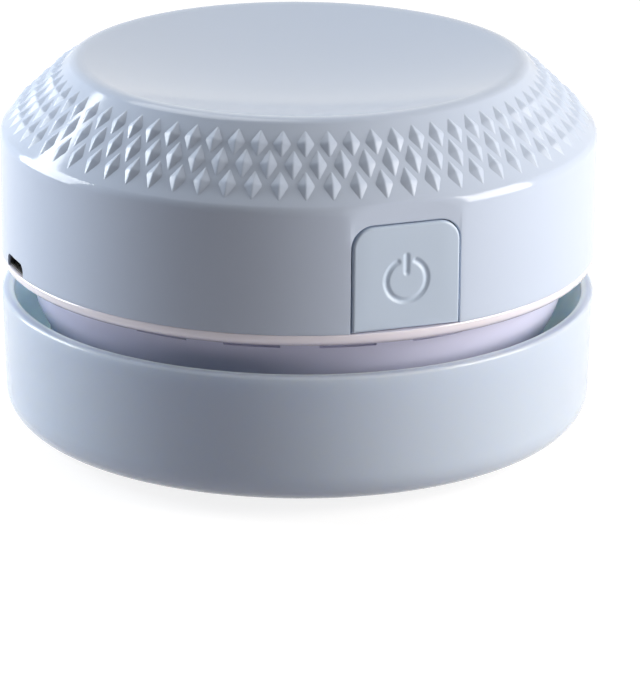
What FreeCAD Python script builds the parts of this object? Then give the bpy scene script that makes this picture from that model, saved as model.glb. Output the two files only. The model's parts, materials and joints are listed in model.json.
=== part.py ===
"""Desktop mini vacuum cleaner, modelled piece by piece.

Millimetres, +Z up. The origin is on the table under the centre of the body. The head rests on
the filter's seal, so an open waist runs all round between its band and the lower casing, and
the fan's air leaves there. The inlet's long side lies along X. The head is drawn with its
button towards -Y and is then turned by HEAD_TURN about Z.
"""
import FreeCAD, Part
import math
import os

V = FreeCAD.Vector
UP = V(0, 0, 1)
CENTRE = V(0, 0, 0)

# Clearances
RUNNING_GAP = 0.03          # shaft in its bearing, radial
SEAT_GAP = 0.2              # a piece set into another of the same body, per side
MOVE_GAP = 0.3              # between curved faces of pieces that move past each other
BUTTON_GAP = 0.15           # button in its slot, per side
SNUG_GAP = 0.05             # screw in its pilot hole, plug in its can, cell in its saddles
HOLE_GAP = 0.25             # screw shank in a clearance hole, radial
TOUCHING = 1e-6             # closer than this is the same place

# Lower casing
BODY_RADIUS = 43.0
BASE_Z = 2.0                # underside of the lower casing above the table
BASE_DRAFT = 0.6            # how much narrower the casing is at its foot
BASE_EDGE_RADIUS = 5.0
CASING_WALL = 1.8
CASING_LIP_RADIUS = 0.45    # rounding of the outer top edge
CASING_INNER_LIP = 0.3
PARTING_Z = 25.5            # underside of the head's band
WAIST_GAP = 4.2             # open all round between the lower casing's rim and the band

# Brush pocket and brush plate under the casing
POCKET_DEPTH = 2.0
RAISED_FLOOR = 1.4
BRUSH_PLATE_THICKNESS = 1.4
BRUSH_PLATE_EDGE = 0.5      # bevel of the brush plate's lower rim
INLET_LENGTH = 26.0
INLET_WIDTH = 10.0
INLET_CORNER = 3.0
INLET_CLEARANCE = 0.6       # the hole in the casing is this much wider than the inlet, per side
TUFT_RADIUS = 0.75
TUFT_TIP_RADIUS = 0.55
TUFT_PITCH = 2.6
TUFT_ROW_Y = 7.2
TUFT_COUNT = 11
TUFT_SEAT = 0.8             # depth of each tuft's blind hole
TUFT_TABLE_GAP = 0.15

# Glide feet
FOOT_RADIUS = 2.2
FOOT_RECESS = 0.5
FOOT_BEVEL = 0.35
FOOT_COUNT = 4
FOOT_FIRST_ANGLE = 45.0
FOOT_INSET = 3.4            # from the rim of the brush plate's pocket to the middle of a foot

# Dust cup
CUP_INSET = 9.6             # from the casing's outside to the cup's
CUP_WALL = 1.4
CUP_FLOOR_ROUND = 1.0
CUP_FLOOR = 1.2
CUP_DEPTH = 8.4
RISER_HEIGHT = 3.0
RISER_WALL = 1.2
CUP_BOSS_RADIUS = 2.8
CUP_BOSS_HEIGHT = 4.4
BASE_SCREW_CLEARANCE = 5.0  # from the riser to a screw boss

# Bayonet between the dust cup and the head
LUG_COUNT = 3
LUG_FIRST_ANGLE = 30.0
LUG_ARC = 14.0
LUG_REACH = 1.0
LUG_HEIGHT = 1.5
LUG_DROP = 1.5              # from the rim of the cup down to the lugs
STOP_ARC = 2.5
STOP_CLEARANCE_ANGLE = 0.6
TURN_TO_LOCK = 20.0

# Filter
FILTER_FLANGE = 1.0
FILTER_LIP_DEPTH = 1.6
FILTER_LEDGE = 2.0
FILTER_EDGE = 0.4           # rounding that leads the frame into the cup
FILTER_SHOULDER = 1.7       # from the lip's outer face to the rebate that holds the mesh
FILTER_SPOKES = 6
SPOKE_WIDTH = 1.6
SPOKE_THICKNESS = 1.4
FILTER_HUB_RADIUS = 3.2
MESH_THICKNESS = 0.8
SEAL_THICKNESS = 0.6
SEAL_WIDTH = 2.4

# Fan housing
HOUSING_FLOOR = 1.4
HOUSING_WALL = 1.3
HOUSING_FLARE = 2.5         # how much wider the bowl is at its rim than at the skirt
HOUSING_FLARE_HEIGHT = 9.1  # from where the bowl starts to widen to its rim
HOUSING_FLARE_RISE = 3.8    # the height over which it widens
HOUSING_BELLY_RADIUS = 12.0
HOUSING_NECK_RADIUS = 2.0
SKIRT_EDGE = 0.3
EYE_RADIUS = 12.0
EYE_LIP_HEIGHT = 0.8
EYE_LIP_WALL = 1.0
EYE_LIP_EDGE = 0.4
EYE_MOUTH_ROUND = 0.6
OUTLET_COUNT = 18
OUTLET_WIDTH = 8.0
OUTLET_HEIGHT = 1.4
POST_INSET = 7.2            # from the inside of the skirt to the middle of a post
POST_RADIUS = 3.1
POST_ANGLES = (10.0, 170.0, 270.0)

# Motor plate
PLATE_THICKNESS = 1.9
PLATE_EDGE_RADIUS = 1.6
PLATE_TOP_EDGE = 0.2
PLATE_LIP_WALL = 1.2
PLATE_LIP_HEIGHT = 2.0
BOSS_RADIUS = 2.3
PLATE_BOSS_HEIGHT = 2.2
SADDLE_THICKNESS = 2.0
SADDLE_WALL = 1.4
SADDLE_X = 16.0
SADDLE_WRAP = 2.0           # how far the saddle reaches above the middle of the cell

# Upper casing
HEAD_TURN = 20.0            # degrees from -Y to the button
HEAD_WALL = 2.0
SHOULDER_HEIGHT = 17.74     # from the motor plate to the shoulder
SHOULDER_RADIUS = 2.43
CONE_RUN = 10.5             # from the body's side in to the top of the cone
CONE_RISE = 10.01
RIM_RADIUS = 2.0
RIM_WIDTH = 1.5             # from the top of the cone in to the dish
DISH_DEPTH = 3.5
SEAM_EDGE = 0.2
HEAD_POST_INSET = 2.2       # from the inside of the wall to the middle of a post
HEAD_POST_RADIUS = 2.8
HEAD_POST_ANGLES = (20.0, 160.0, 225.0, 315.0)
MOTOR_RING_WALL = 1.2
MOTOR_RING_DEPTH = 3.5      # how far the ring reaches down past the top of the motor can
MOTOR_RING_NOTCH = 8.0      # half width of the gap for the motor leads

# Diamond studs around the cone
STUD_COUNT = 70
STUD_ROWS = 3
STUD_FIRST = 3.95           # down the slope from the top corner to the first row
STUD_ROW_PITCH = 3.33
STUD_FIRST_ANGLE = -1.1      # of the first stud in the first and third rows, in degrees
STUD_HALF_HEIGHT = 2.65
STUD_WIDTH_SHARE = 0.42     # half width as a share of the spacing around the row
STUD_RISE = 0.4
STUD_SINK = 0.08
STUD_ROOT = 0.8

# Power button
LANDING_DEPTH = 0.8         # how deep the flat round the button cuts into the casing
SLOT_WIDTH = 16.0
SLOT_HEIGHT = 15.2
SLOT_CORNER = 3.1
BUTTON_PROUD = 0.3
BUTTON_EDGE = 0.4
GUIDE_WALL = 1.3
FLANGE_OVERLAP = 1.1
FLANGE_THICKNESS = 1.0
BUTTON_TRAVEL = 1.0
STEM_RADIUS = 2.0

# Motor
SHAFT_RADIUS = 1.0
CAN_RADIUS = 12.2
CAN_WALL = 0.6
CAN_BASE = 1.0
CAN_LENGTH = 17.6
CAN_EDGE = 1.0
END_CAP_THICKNESS = 2.0
END_CAP_PLUG = 1.6
END_CAP_EDGE = 0.5
BUSHING_RADIUS = 3.0
BUSHING_BELOW = 1.2
BUSHING_ABOVE = 2.6
MAGNET_THICKNESS = 2.0
MAGNET_ARC = 140.0
MAGNET_LENGTH = 12.0
ARMATURE_LENGTH = 9.5
ARMATURE_GAP = 0.5
ARMATURE_SLOTS = 3
ARMATURE_SLOT_WIDTH = 2.0
ARMATURE_SLOT_DEPTH = 4.5
TERMINAL_X = 6.0
TERMINAL_WIDTH = 2.4
TERMINAL_THICKNESS = 0.5
TERMINAL_HEIGHT = 1.8
MOTOR_SCREW_X = 8.0

# Fan impeller
IMPELLER_POST_GAP = 1.4     # from the fan's rim to the posts round it
IMPELLER_PLATE = 1.0
IMPELLER_EDGE = 0.3
FAN_GAP = 1.0               # running gap under the blades
FAN_SCREW_GAP = 0.8         # running gap under the heads of the motor's screws
BLADE_COUNT = 9
BLADE_THICKNESS = 1.0
BLADE_ARC_SHARE = 0.52      # radius of a blade's curve as a share of the fan's
BLADE_OFFSET_SHARE = 0.61   # how far that curve's centre lies from the shaft, as a share
BLADE_INNER_RADIUS = 8.5
BLADE_TIP_INSET = 0.2
FAN_HUB_RADIUS = 3.6
FAN_HUB_EDGE = 1.2
FAN_HUB_RISE = 0.5

# Battery cell
CELL_RADIUS = 7.1
CELL_LENGTH = 50.0
CELL_NUB_RADIUS = 3.0
CELL_NUB_LENGTH = 1.0
CELL_EDGE = 0.5
CELL_CAN_GAP = 2.2          # from the motor can to the cell
CELL_LIFT = 1.0             # from the plate to the underside of the cell
TAB_THICKNESS = 0.3
TAB_WIDTH = 5.0
TAB_HEIGHT = 9.0

# Charging socket, switch and board
SOCKET_WIDTH = 7.4
SOCKET_HEIGHT = 2.5
SOCKET_DEPTH = 5.5
SOCKET_WALL = 0.3
SOCKET_CORNER = 0.9
SOCKET_INSET = 0.6          # from the casing's surface to the socket's mouth
SOCKET_BACK = 0.8
SOCKET_PLATE_GAP = 0.1
TONGUE_WIDTH = 3.8
TONGUE_THICKNESS = 0.6
TONGUE_LENGTH = 3.6
PORT_GAP = 0.1
BOARD_THICKNESS = 1.2
BOARD_EDGE_GAP = 8.0        # from the inside of the casing to the board's round edge
BOARD_CAN_GAP = 1.8
BOARD_CELL_GAP = 3.4
BOARD_TONGUE_GAP = 0.6      # from the inside of the casing to the tongue over the socket
BOARD_TONGUE_WIDTH = 8.4
BOARD_MOUNT_INSET = 10.5    # from the board's round edge to its screws
BOARD_MOUNT_ANGLES = (20.0, 160.0, 215.0, 325.0)
CHIP_INSET = 6.5            # from the board's round edge to the middle of each component
CHARGER_ANGLE = 188.0
CHARGER_WIDTH = 5.0
CHARGER_DEPTH = 4.0
CHARGER_HEIGHT = 1.5
TRANSISTOR_ANGLE = 350.0
TRANSISTOR_WIDTH = 4.0
TRANSISTOR_DEPTH = 4.5
TRANSISTOR_HEIGHT = 1.2
COIL_ANGLE = 298.0
COIL_WIDTH = 5.0
COIL_HEIGHT = 3.0
COIL_CORNER = 0.8
CAPACITOR_ANGLE = 242.0
CAPACITOR_RADIUS = 2.5
CAPACITOR_HEIGHT = 6.0
SWITCH_WIDTH = 6.0
SWITCH_DEPTH = 4.0
SWITCH_HEIGHT = 3.5
PLUNGER_RADIUS = 1.2
PLUNGER_REACH = 2.0
PLUNGER_INSIDE = 1.3

# Screws: one size throughout
SCREW_RADIUS = 1.0
SCREW_HEAD_RADIUS = 1.9
SCREW_HEAD_HEIGHT = 1.2
SCREW_BEVEL = 0.4
RECESS_RADIUS = 0.5
RECESS_DEPTH = 0.6
SCREW_TIP_GAP = 0.4
POST_SCREW_LENGTH = 7.0     # thread length in the long posts

# Leads
LEAD_RADIUS = 0.5
LEAD_BEND = 1.6

# Levels and radii that follow from the sizes above
FLOOR_TOP_Z = BASE_Z + CASING_WALL
CASING_TOP_Z = PARTING_Z - WAIST_GAP
POCKET_Z = BASE_Z + POCKET_DEPTH
CUP_FLOOR_Z = POCKET_Z + RAISED_FLOOR
CUP_FLOOR_TOP_Z = CUP_FLOOR_Z + CUP_FLOOR
CUP_TOP_Z = CUP_FLOOR_TOP_Z + CUP_DEPTH
CUP_RADIUS = BODY_RADIUS - CUP_INSET
CUP_INNER_RADIUS = CUP_RADIUS - CUP_WALL
BASE_SCREW_X = INLET_LENGTH / 2 + RISER_WALL + BASE_SCREW_CLEARANCE + CUP_BOSS_RADIUS
POCKET_RADIUS = CUP_INNER_RADIUS - SEAT_GAP - RAISED_FLOOR
FLANGE_TOP_Z = CUP_TOP_Z + FILTER_FLANGE
HOUSING_Z = FLANGE_TOP_Z + SEAL_THICKNESS
HOUSING_FLOOR_TOP_Z = HOUSING_Z + HOUSING_FLOOR
SKIRT_INNER_RADIUS = CUP_RADIUS + LUG_REACH + MOVE_GAP
SKIRT_RADIUS = SKIRT_INNER_RADIUS + HOUSING_WALL
HOUSING_TOP_RADIUS = SKIRT_RADIUS + HOUSING_FLARE
HOUSING_FLARE_Z = PARTING_Z - HOUSING_FLARE_HEIGHT
HOUSING_BELLY_Z = HOUSING_FLARE_Z + HOUSING_FLARE_RISE
POST_RING_RADIUS = SKIRT_INNER_RADIUS - POST_INSET
LUG_TOP_Z = CUP_TOP_Z - LUG_DROP
LUG_Z = LUG_TOP_Z - LUG_HEIGHT
HOOK_TOP_Z = LUG_Z - MOVE_GAP
HOOK_Z = HOOK_TOP_Z - LUG_HEIGHT
BRUSH_PLATE_Z = POCKET_Z - BRUSH_PLATE_THICKNESS
FOOT_RING_RADIUS = POCKET_RADIUS - FOOT_INSET
FOOT_TOP_Z = BRUSH_PLATE_Z + FOOT_RECESS
PLATE_TOP_Z = PARTING_Z + PLATE_THICKNESS
SHOULDER_Z = PLATE_TOP_Z + SHOULDER_HEIGHT
TOP_Z = SHOULDER_Z + CONE_RISE
HEAD_INNER_RADIUS = BODY_RADIUS - HEAD_WALL
HEAD_POST_RING = HEAD_INNER_RADIUS - HEAD_POST_INSET
CONE_TOP_RADIUS = BODY_RADIUS - CONE_RUN
DISH_RADIUS = CONE_TOP_RADIUS - RIM_WIDTH
DISH_SPHERE_RADIUS = (DISH_RADIUS ** 2 + DISH_DEPTH ** 2) / (2 * DISH_DEPTH)
DISH_CENTRE_Z = TOP_Z - DISH_DEPTH + DISH_SPHERE_RADIUS
SCREW_HOLE_RADIUS = SCREW_RADIUS + HOLE_GAP
PILOT_RADIUS = SCREW_RADIUS + SNUG_GAP
HEAD_HOLE_RADIUS = SCREW_HEAD_RADIUS + SEAT_GAP
CAN_TOP_Z = PLATE_TOP_Z + CAN_LENGTH
END_CAP_TOP_Z = CAN_TOP_Z + END_CAP_THICKNESS
CAN_INNER_RADIUS = CAN_RADIUS - CAN_WALL
SHAFT_HOLE_RADIUS = SHAFT_RADIUS + RUNNING_GAP
BLADE_Z = HOUSING_FLOOR_TOP_Z + FAN_GAP
IMPELLER_RADIUS = POST_RING_RADIUS - POST_RADIUS - IMPELLER_POST_GAP
IMPELLER_TOP_Z = PARTING_Z - SCREW_HEAD_HEIGHT - FAN_SCREW_GAP
IMPELLER_PLATE_Z = IMPELLER_TOP_Z - IMPELLER_PLATE
CELL_Y = CAN_RADIUS + CELL_CAN_GAP + CELL_RADIUS
CELL_Z = PLATE_TOP_Z + CELL_LIFT + CELL_RADIUS
BOARD_RADIUS = HEAD_INNER_RADIUS - BOARD_EDGE_GAP
BOARD_INNER_RADIUS = CAN_RADIUS + BOARD_CAN_GAP
BOARD_BACK_Y = CELL_Y - CELL_RADIUS - BOARD_CELL_GAP
BOARD_TONGUE_X = HEAD_INNER_RADIUS - BOARD_TONGUE_GAP
BOARD_Z = PLATE_TOP_Z + SOCKET_PLATE_GAP + SOCKET_HEIGHT
BOARD_TOP_Z = BOARD_Z + BOARD_THICKNESS
SLOT_TOP_Z = PLATE_TOP_Z + SLOT_HEIGHT
LANDING_DISTANCE = BODY_RADIUS - LANDING_DEPTH
GUIDE_DISTANCE = LANDING_DISTANCE - GUIDE_WALL
FLANGE_FRONT = GUIDE_DISTANCE - SEAT_GAP
FLANGE_BACK = FLANGE_FRONT - FLANGE_THICKNESS
FLANGE_HALF_WIDTH = SLOT_WIDTH / 2 + FLANGE_OVERLAP
GUIDE_HALF_WIDTH = FLANGE_HALF_WIDTH + MOVE_GAP
PRESS_Z = BOARD_TOP_Z + SWITCH_HEIGHT / 2
SWITCH_FRONT = BOARD_RADIUS
PLUNGER_FRONT = SWITCH_FRONT + PLUNGER_REACH


def corner_round(before, corner, after, radius):
    """Where an arc of this radius starts, peaks and ends as it rounds a corner."""
    to_before = (before - corner).normalize()
    to_after = (after - corner).normalize()
    half = to_before.getAngle(to_after) / 2
    reach = radius / math.tan(half)
    middle = (to_before + to_after).normalize()
    centre = corner + middle * (radius / math.sin(half))
    return corner + to_before * reach, centre - middle * radius, corner + to_after * reach


def rounded_wire(points, radii, closed=True):
    """Straight runs through the points, with each turn rounded by its own radius."""
    count = len(points)
    arcs = {}
    stops = []
    for i, point in enumerate(points):
        at_end = not closed and i in (0, count - 1)
        if radii[i] <= 0 or at_end:
            stops.append((point, point))
            continue
        start, peak, end = corner_round(points[i - 1], point, points[(i + 1) % count], radii[i])
        arcs[i] = Part.Arc(start, peak, end).toShape()
        stops.append((start, end))
    run = []
    for i in range(count):
        if i in arcs:
            run.append(arcs[i])
        if i == count - 1 and not closed:
            break
        leave = stops[i][1]
        arrive = stops[(i + 1) % count][0]
        if leave.distanceToPoint(arrive) > TOUCHING:
            run.append(Part.LineSegment(leave, arrive).toShape())
    return Part.Wire(run)


def turned(corners):
    """Solid of revolution about Z from (radius, height, rounding) corners."""
    points = [V(r, 0, z) for r, z, _ in corners]
    face = Part.Face(rounded_wire(points, [c[2] for c in corners]))
    return outward(face.revolve(CENTRE, UP, 360))


def outward(solid):
    """The solid with its faces pointing out."""
    if solid.Volume < 0:
        solid.reverse()
    return solid


def disc(radius, z_low, z_high, x=0.0, y=0.0):
    return Part.makeCylinder(radius, z_high - z_low, V(x, y, z_low))


def tube(outer, inner, z_low, z_high):
    return disc(outer, z_low, z_high).cut(disc(inner, z_low, z_high))


def block(x_low, x_high, y_low, y_high, z_low, z_high):
    return Part.makeBox(x_high - x_low, y_high - y_low, z_high - z_low, V(x_low, y_low, z_low))


def rounded_block(half_x, half_y, z_low, z_high, corner):
    """Upright block on the axis, with its four standing edges rounded."""
    points = [V(sx * half_x, sy * half_y, z_low) for sx, sy in ((1, 1), (-1, 1), (-1, -1), (1, -1))]
    face = Part.Face(rounded_wire(points, [corner] * 4))
    return outward(face.extrude(V(0, 0, z_high - z_low)))


def about_axis(shape, angle):
    """A copy of the shape, turned about Z."""
    copy = shape.copy()
    copy.rotate(CENTRE, UP, angle)
    return copy


def ring_of(shape, count, first=0.0):
    """Equally spaced copies of the shape around Z."""
    return [about_axis(shape, first + i * 360.0 / count) for i in range(count)]


def arc_block(inner, outer, z_low, z_high, arc):
    """Piece of a tube that spans an angle, centred on +X."""
    section = Part.makePolygon([V(inner, 0, z_low), V(outer, 0, z_low), V(outer, 0, z_high),
                                V(inner, 0, z_high), V(inner, 0, z_low)])
    return about_axis(outward(Part.Face(section).revolve(CENTRE, UP, arc)), -arc / 2)


def polar(radius, angle):
    """X and Y of a point at a radius and an angle in degrees."""
    return radius * math.cos(math.radians(angle)), radius * math.sin(math.radians(angle))


def screw(x, y, seat_z, length, upwards=True):
    """Pan-head screw whose head bears at seat_z; its shank runs up, or down."""
    crown = SCREW_HEAD_RADIUS - SCREW_BEVEL
    tip = SCREW_RADIUS - SCREW_BEVEL
    head = turned([(0, -SCREW_HEAD_HEIGHT, 0), (crown, -SCREW_HEAD_HEIGHT, 0),
                   (SCREW_HEAD_RADIUS, SCREW_BEVEL - SCREW_HEAD_HEIGHT, 0),
                   (SCREW_HEAD_RADIUS, 0, 0), (0, 0, 0)])
    shank = turned([(0, 0, 0), (SCREW_RADIUS, 0, 0), (SCREW_RADIUS, length - SCREW_BEVEL, 0),
                    (tip, length, 0), (0, length, 0)])
    recess = Part.makeBox(4 * RECESS_RADIUS, RECESS_RADIUS, RECESS_DEPTH,
                          V(-2 * RECESS_RADIUS, -RECESS_RADIUS / 2, -SCREW_HEAD_HEIGHT))
    body = head.fuse(shank).cut([recess, about_axis(recess, 90)])
    if not upwards:
        body.rotate(CENTRE, V(1, 0, 0), 180)
    body.translate(V(x, y, seat_z))
    return body


# ---------------------------------------------------------------- dust bin

def inlet_block(z_low, z_high, step=0.0):
    """Space of the suction inlet, widened by a step on every side."""
    return rounded_block(INLET_LENGTH / 2 + step, INLET_WIDTH / 2 + step, z_low, z_high,
                         INLET_CORNER + step)


def foot_places():
    return [polar(FOOT_RING_RADIUS, FOOT_FIRST_ANGLE + i * 360.0 / FOOT_COUNT)
            for i in range(FOOT_COUNT)]


def base_screw_places():
    return [(BASE_SCREW_X, 0), (-BASE_SCREW_X, 0)]


def lower_shell():
    """Cup-shaped lower casing with a soft rim, and a pocket for the brush plate below."""
    foot_radius = BODY_RADIUS - BASE_DRAFT
    inner_foot = foot_radius - CASING_WALL
    step_radius = POCKET_RADIUS + RAISED_FLOOR
    shell = turned([
        (foot_radius, BASE_Z, BASE_EDGE_RADIUS),
        (BODY_RADIUS, CASING_TOP_Z, CASING_LIP_RADIUS),
        (BODY_RADIUS - CASING_WALL, CASING_TOP_Z, CASING_INNER_LIP),
        (inner_foot, FLOOR_TOP_Z, BASE_EDGE_RADIUS - CASING_WALL),
        (step_radius, FLOOR_TOP_Z, 0),
        (step_radius, CUP_FLOOR_Z, 0),
        (0, CUP_FLOOR_Z, 0),
        (0, POCKET_Z, 0),
        (POCKET_RADIUS, POCKET_Z, 0),
        (POCKET_RADIUS, BASE_Z, 0)])
    holes = [inlet_block(BASE_Z, CUP_FLOOR_TOP_Z, INLET_CLEARANCE)]
    holes += [disc(SCREW_HOLE_RADIUS, BASE_Z, CUP_FLOOR_TOP_Z, x, y) for x, y in base_screw_places()]
    return shell.cut(holes)


def glide_feet():
    """Four feet, each set into a recess in the underside of the brush plate."""
    feet = []
    for x, y in foot_places():
        foot = turned([(0, 0, 0), (FOOT_RADIUS - FOOT_BEVEL, 0, 0), (FOOT_RADIUS, FOOT_BEVEL, 0),
                       (FOOT_RADIUS, FOOT_TOP_Z, 0), (0, FOOT_TOP_Z, 0)])
        foot.translate(V(x, y, 0))
        feet.append(foot)
    return Part.makeCompound(feet)


def tuft_places():
    """Two rows of tufts, one along each long side of the inlet."""
    first = -TUFT_PITCH * (TUFT_COUNT - 1) / 2
    return [(first + i * TUFT_PITCH, side * TUFT_ROW_Y) for side in (-1, 1) for i in range(TUFT_COUNT)]


def brush_plate():
    """Round plate clamped under the casing; it carries the bristles round the inlet, and the feet."""
    radius = POCKET_RADIUS - SEAT_GAP
    plate = turned([(0, BRUSH_PLATE_Z, 0), (radius - BRUSH_PLATE_EDGE, BRUSH_PLATE_Z, 0),
                    (radius, BRUSH_PLATE_Z + BRUSH_PLATE_EDGE, 0), (radius, POCKET_Z, 0),
                    (0, POCKET_Z, 0)])
    holes = [inlet_block(BASE_Z, CUP_FLOOR_Z)]
    for x, y in base_screw_places():
        holes.append(disc(SCREW_HOLE_RADIUS, BASE_Z, POCKET_Z, x, y))
    for x, y in tuft_places():
        holes.append(disc(TUFT_RADIUS, BASE_Z, BRUSH_PLATE_Z + TUFT_SEAT, x, y))
    for x, y in foot_places():
        holes.append(disc(FOOT_RADIUS + SEAT_GAP, 0, FOOT_TOP_Z, x, y))
    return plate.cut(holes)


def brush_tufts():
    length = BRUSH_PLATE_Z + TUFT_SEAT - TUFT_TABLE_GAP
    return Part.makeCompound([
        Part.makeCone(TUFT_TIP_RADIUS, TUFT_RADIUS, length, V(x, y, TUFT_TABLE_GAP))
        for x, y in tuft_places()])


def dust_cup():
    """Dust cup with a riser round the inlet, screw bosses and three bayonet lugs."""
    cup = turned([
        (CUP_RADIUS, FLOOR_TOP_Z, 0),
        (CUP_RADIUS, CUP_TOP_Z, 0),
        (CUP_INNER_RADIUS, CUP_TOP_Z, 0),
        (CUP_INNER_RADIUS, CUP_FLOOR_TOP_Z, CUP_FLOOR_ROUND),
        (0, CUP_FLOOR_TOP_Z, 0),
        (0, CUP_FLOOR_Z, 0),
        (CUP_INNER_RADIUS, CUP_FLOOR_Z, 0),
        (CUP_INNER_RADIUS, FLOOR_TOP_Z, 0)])
    riser = inlet_block(CUP_FLOOR_Z, CUP_FLOOR_TOP_Z + RISER_HEIGHT, RISER_WALL)
    lug = arc_block(CUP_INNER_RADIUS + CUP_WALL / 2, CUP_RADIUS + LUG_REACH, LUG_Z, LUG_TOP_Z, LUG_ARC)
    stop = about_axis(
        arc_block(CUP_INNER_RADIUS + CUP_WALL / 2, CUP_RADIUS + LUG_REACH, HOOK_Z, LUG_TOP_Z, STOP_ARC),
        -(LUG_ARC + STOP_ARC) / 2 - STOP_CLEARANCE_ANGLE)
    added = [riser] + ring_of(lug, LUG_COUNT, LUG_FIRST_ANGLE) + ring_of(stop, LUG_COUNT, LUG_FIRST_ANGLE)
    boss_top = CUP_FLOOR_TOP_Z + CUP_BOSS_HEIGHT
    added += [disc(CUP_BOSS_RADIUS, CUP_FLOOR_Z, boss_top, x, y) for x, y in base_screw_places()]
    holes = [inlet_block(CUP_FLOOR_Z, CUP_TOP_Z)]
    for x, y in base_screw_places():
        holes.append(disc(PILOT_RADIUS, CUP_FLOOR_Z, boss_top - SCREW_TIP_GAP, x, y))
    return cup.multiFuse(added).cut(holes).removeSplitter()


def base_screws():
    """Two screws from below through the brush plate and casing into the dust cup."""
    length = CUP_FLOOR_TOP_Z + CUP_BOSS_HEIGHT - BRUSH_PLATE_Z - 2 * SCREW_TIP_GAP
    return Part.makeCompound([screw(x, y, BRUSH_PLATE_Z, length) for x, y in base_screw_places()])


# ---------------------------------------------------------------- filter

def filter_radii():
    """Outer radius of the lip, radius of the rebate and inner radius of the ledge."""
    lip = CUP_INNER_RADIUS - MOVE_GAP
    rebate = lip - FILTER_SHOULDER
    return lip, rebate, rebate - FILTER_LEDGE


def filter_frame():
    """Ring with spokes that drops into the mouth of the dust cup."""
    lip, rebate, opening = filter_radii()
    low = CUP_TOP_Z - FILTER_LIP_DEPTH
    ledge = low + SPOKE_THICKNESS
    ring = turned([(lip, low, FILTER_EDGE), (lip, CUP_TOP_Z, 0), (CUP_RADIUS - SEAT_GAP, CUP_TOP_Z, 0),
                   (CUP_RADIUS - SEAT_GAP, FLANGE_TOP_Z, 0), (rebate, FLANGE_TOP_Z, 0),
                   (rebate, ledge, 0), (opening, ledge, 0), (opening, low, 0)])
    spoke = block(0, opening + FILTER_LEDGE / 2, -SPOKE_WIDTH / 2, SPOKE_WIDTH / 2, low, ledge)
    hub = disc(FILTER_HUB_RADIUS, low, ledge)
    return ring.multiFuse([hub] + ring_of(spoke, FILTER_SPOKES)).removeSplitter()


def filter_mesh():
    rebate = filter_radii()[1]
    ledge = CUP_TOP_Z - FILTER_LIP_DEPTH + SPOKE_THICKNESS
    return disc(rebate - SEAT_GAP, ledge, ledge + MESH_THICKNESS)


def filter_seal():
    """Rubber ring between the filter's flange and the floor of the fan housing."""
    outer = CUP_RADIUS - 2 * SEAT_GAP
    return turned([(outer, FLANGE_TOP_Z, 0), (outer, HOUSING_Z, 0),
                   (outer - SEAL_WIDTH, HOUSING_Z, 0), (outer - SEAL_WIDTH, FLANGE_TOP_Z, 0)])


# ---------------------------------------------------------------- head: fan housing

def post_places():
    return [polar(POST_RING_RADIUS, angle) for angle in POST_ANGLES]


def fan_housing():
    """Bellied bowl round the fan, with air outlets at its rim and a bayonet skirt below."""
    eye_edge = EYE_RADIUS + EYE_LIP_WALL
    inner_top = HOUSING_TOP_RADIUS - HOUSING_WALL
    bowl = turned([
        (SKIRT_RADIUS, HOOK_Z, SKIRT_EDGE),
        (SKIRT_RADIUS, HOUSING_FLARE_Z, HOUSING_NECK_RADIUS),
        (HOUSING_TOP_RADIUS, HOUSING_BELLY_Z, HOUSING_BELLY_RADIUS),
        (HOUSING_TOP_RADIUS, PARTING_Z, 0),
        (inner_top, PARTING_Z, 0),
        (inner_top, HOUSING_FLOOR_TOP_Z + HOUSING_FLARE_RISE, HOUSING_BELLY_RADIUS - HOUSING_WALL),
        (SKIRT_INNER_RADIUS, HOUSING_FLOOR_TOP_Z, 0),
        (eye_edge, HOUSING_FLOOR_TOP_Z, 0),
        (eye_edge, HOUSING_FLOOR_TOP_Z + EYE_LIP_HEIGHT, 0),
        (EYE_RADIUS, HOUSING_FLOOR_TOP_Z + EYE_LIP_HEIGHT, EYE_LIP_EDGE),
        (EYE_RADIUS, HOUSING_Z, EYE_MOUTH_ROUND),
        (SKIRT_INNER_RADIUS, HOUSING_Z, 0),
        (SKIRT_INNER_RADIUS, HOOK_Z, 0)])
    hook_mid = SKIRT_INNER_RADIUS + HOUSING_WALL / 2
    hook = arc_block(CUP_RADIUS + MOVE_GAP, hook_mid, HOOK_Z, HOOK_TOP_Z, LUG_ARC)
    first_hook = LUG_FIRST_ANGLE + TURN_TO_LOCK - HEAD_TURN
    posts = [disc(POST_RADIUS, HOUSING_Z, PARTING_Z, x, y) for x, y in post_places()]
    bowl = bowl.multiFuse(ring_of(hook, LUG_COUNT, first_hook) + posts)
    outlet = block(SKIRT_INNER_RADIUS - HOUSING_WALL, HOUSING_TOP_RADIUS + HOUSING_WALL,
                   -OUTLET_WIDTH / 2, OUTLET_WIDTH / 2, PARTING_Z - OUTLET_HEIGHT, PARTING_Z)
    holes = ring_of(outlet, OUTLET_COUNT)
    for x, y in post_places():
        holes.append(disc(HEAD_HOLE_RADIUS, HOUSING_Z, HOUSING_Z + SCREW_HEAD_HEIGHT + SEAT_GAP, x, y))
        holes.append(disc(SCREW_HOLE_RADIUS, HOUSING_Z, PARTING_Z, x, y))
    return bowl.cut(holes).removeSplitter()


def fan_housing_screws():
    seat = HOUSING_Z + SCREW_HEAD_HEIGHT + SEAT_GAP
    length = PLATE_TOP_Z + PLATE_BOSS_HEIGHT - seat - SCREW_TIP_GAP
    return Part.makeCompound([screw(x, y, seat, length) for x, y in post_places()])


# ---------------------------------------------------------------- head: motor plate

def head_post_places():
    return [polar(HEAD_POST_RING, angle) for angle in HEAD_POST_ANGLES]


def board_mount_places():
    return [polar(BOARD_RADIUS - BOARD_MOUNT_INSET, angle) for angle in BOARD_MOUNT_ANGLES]


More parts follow.
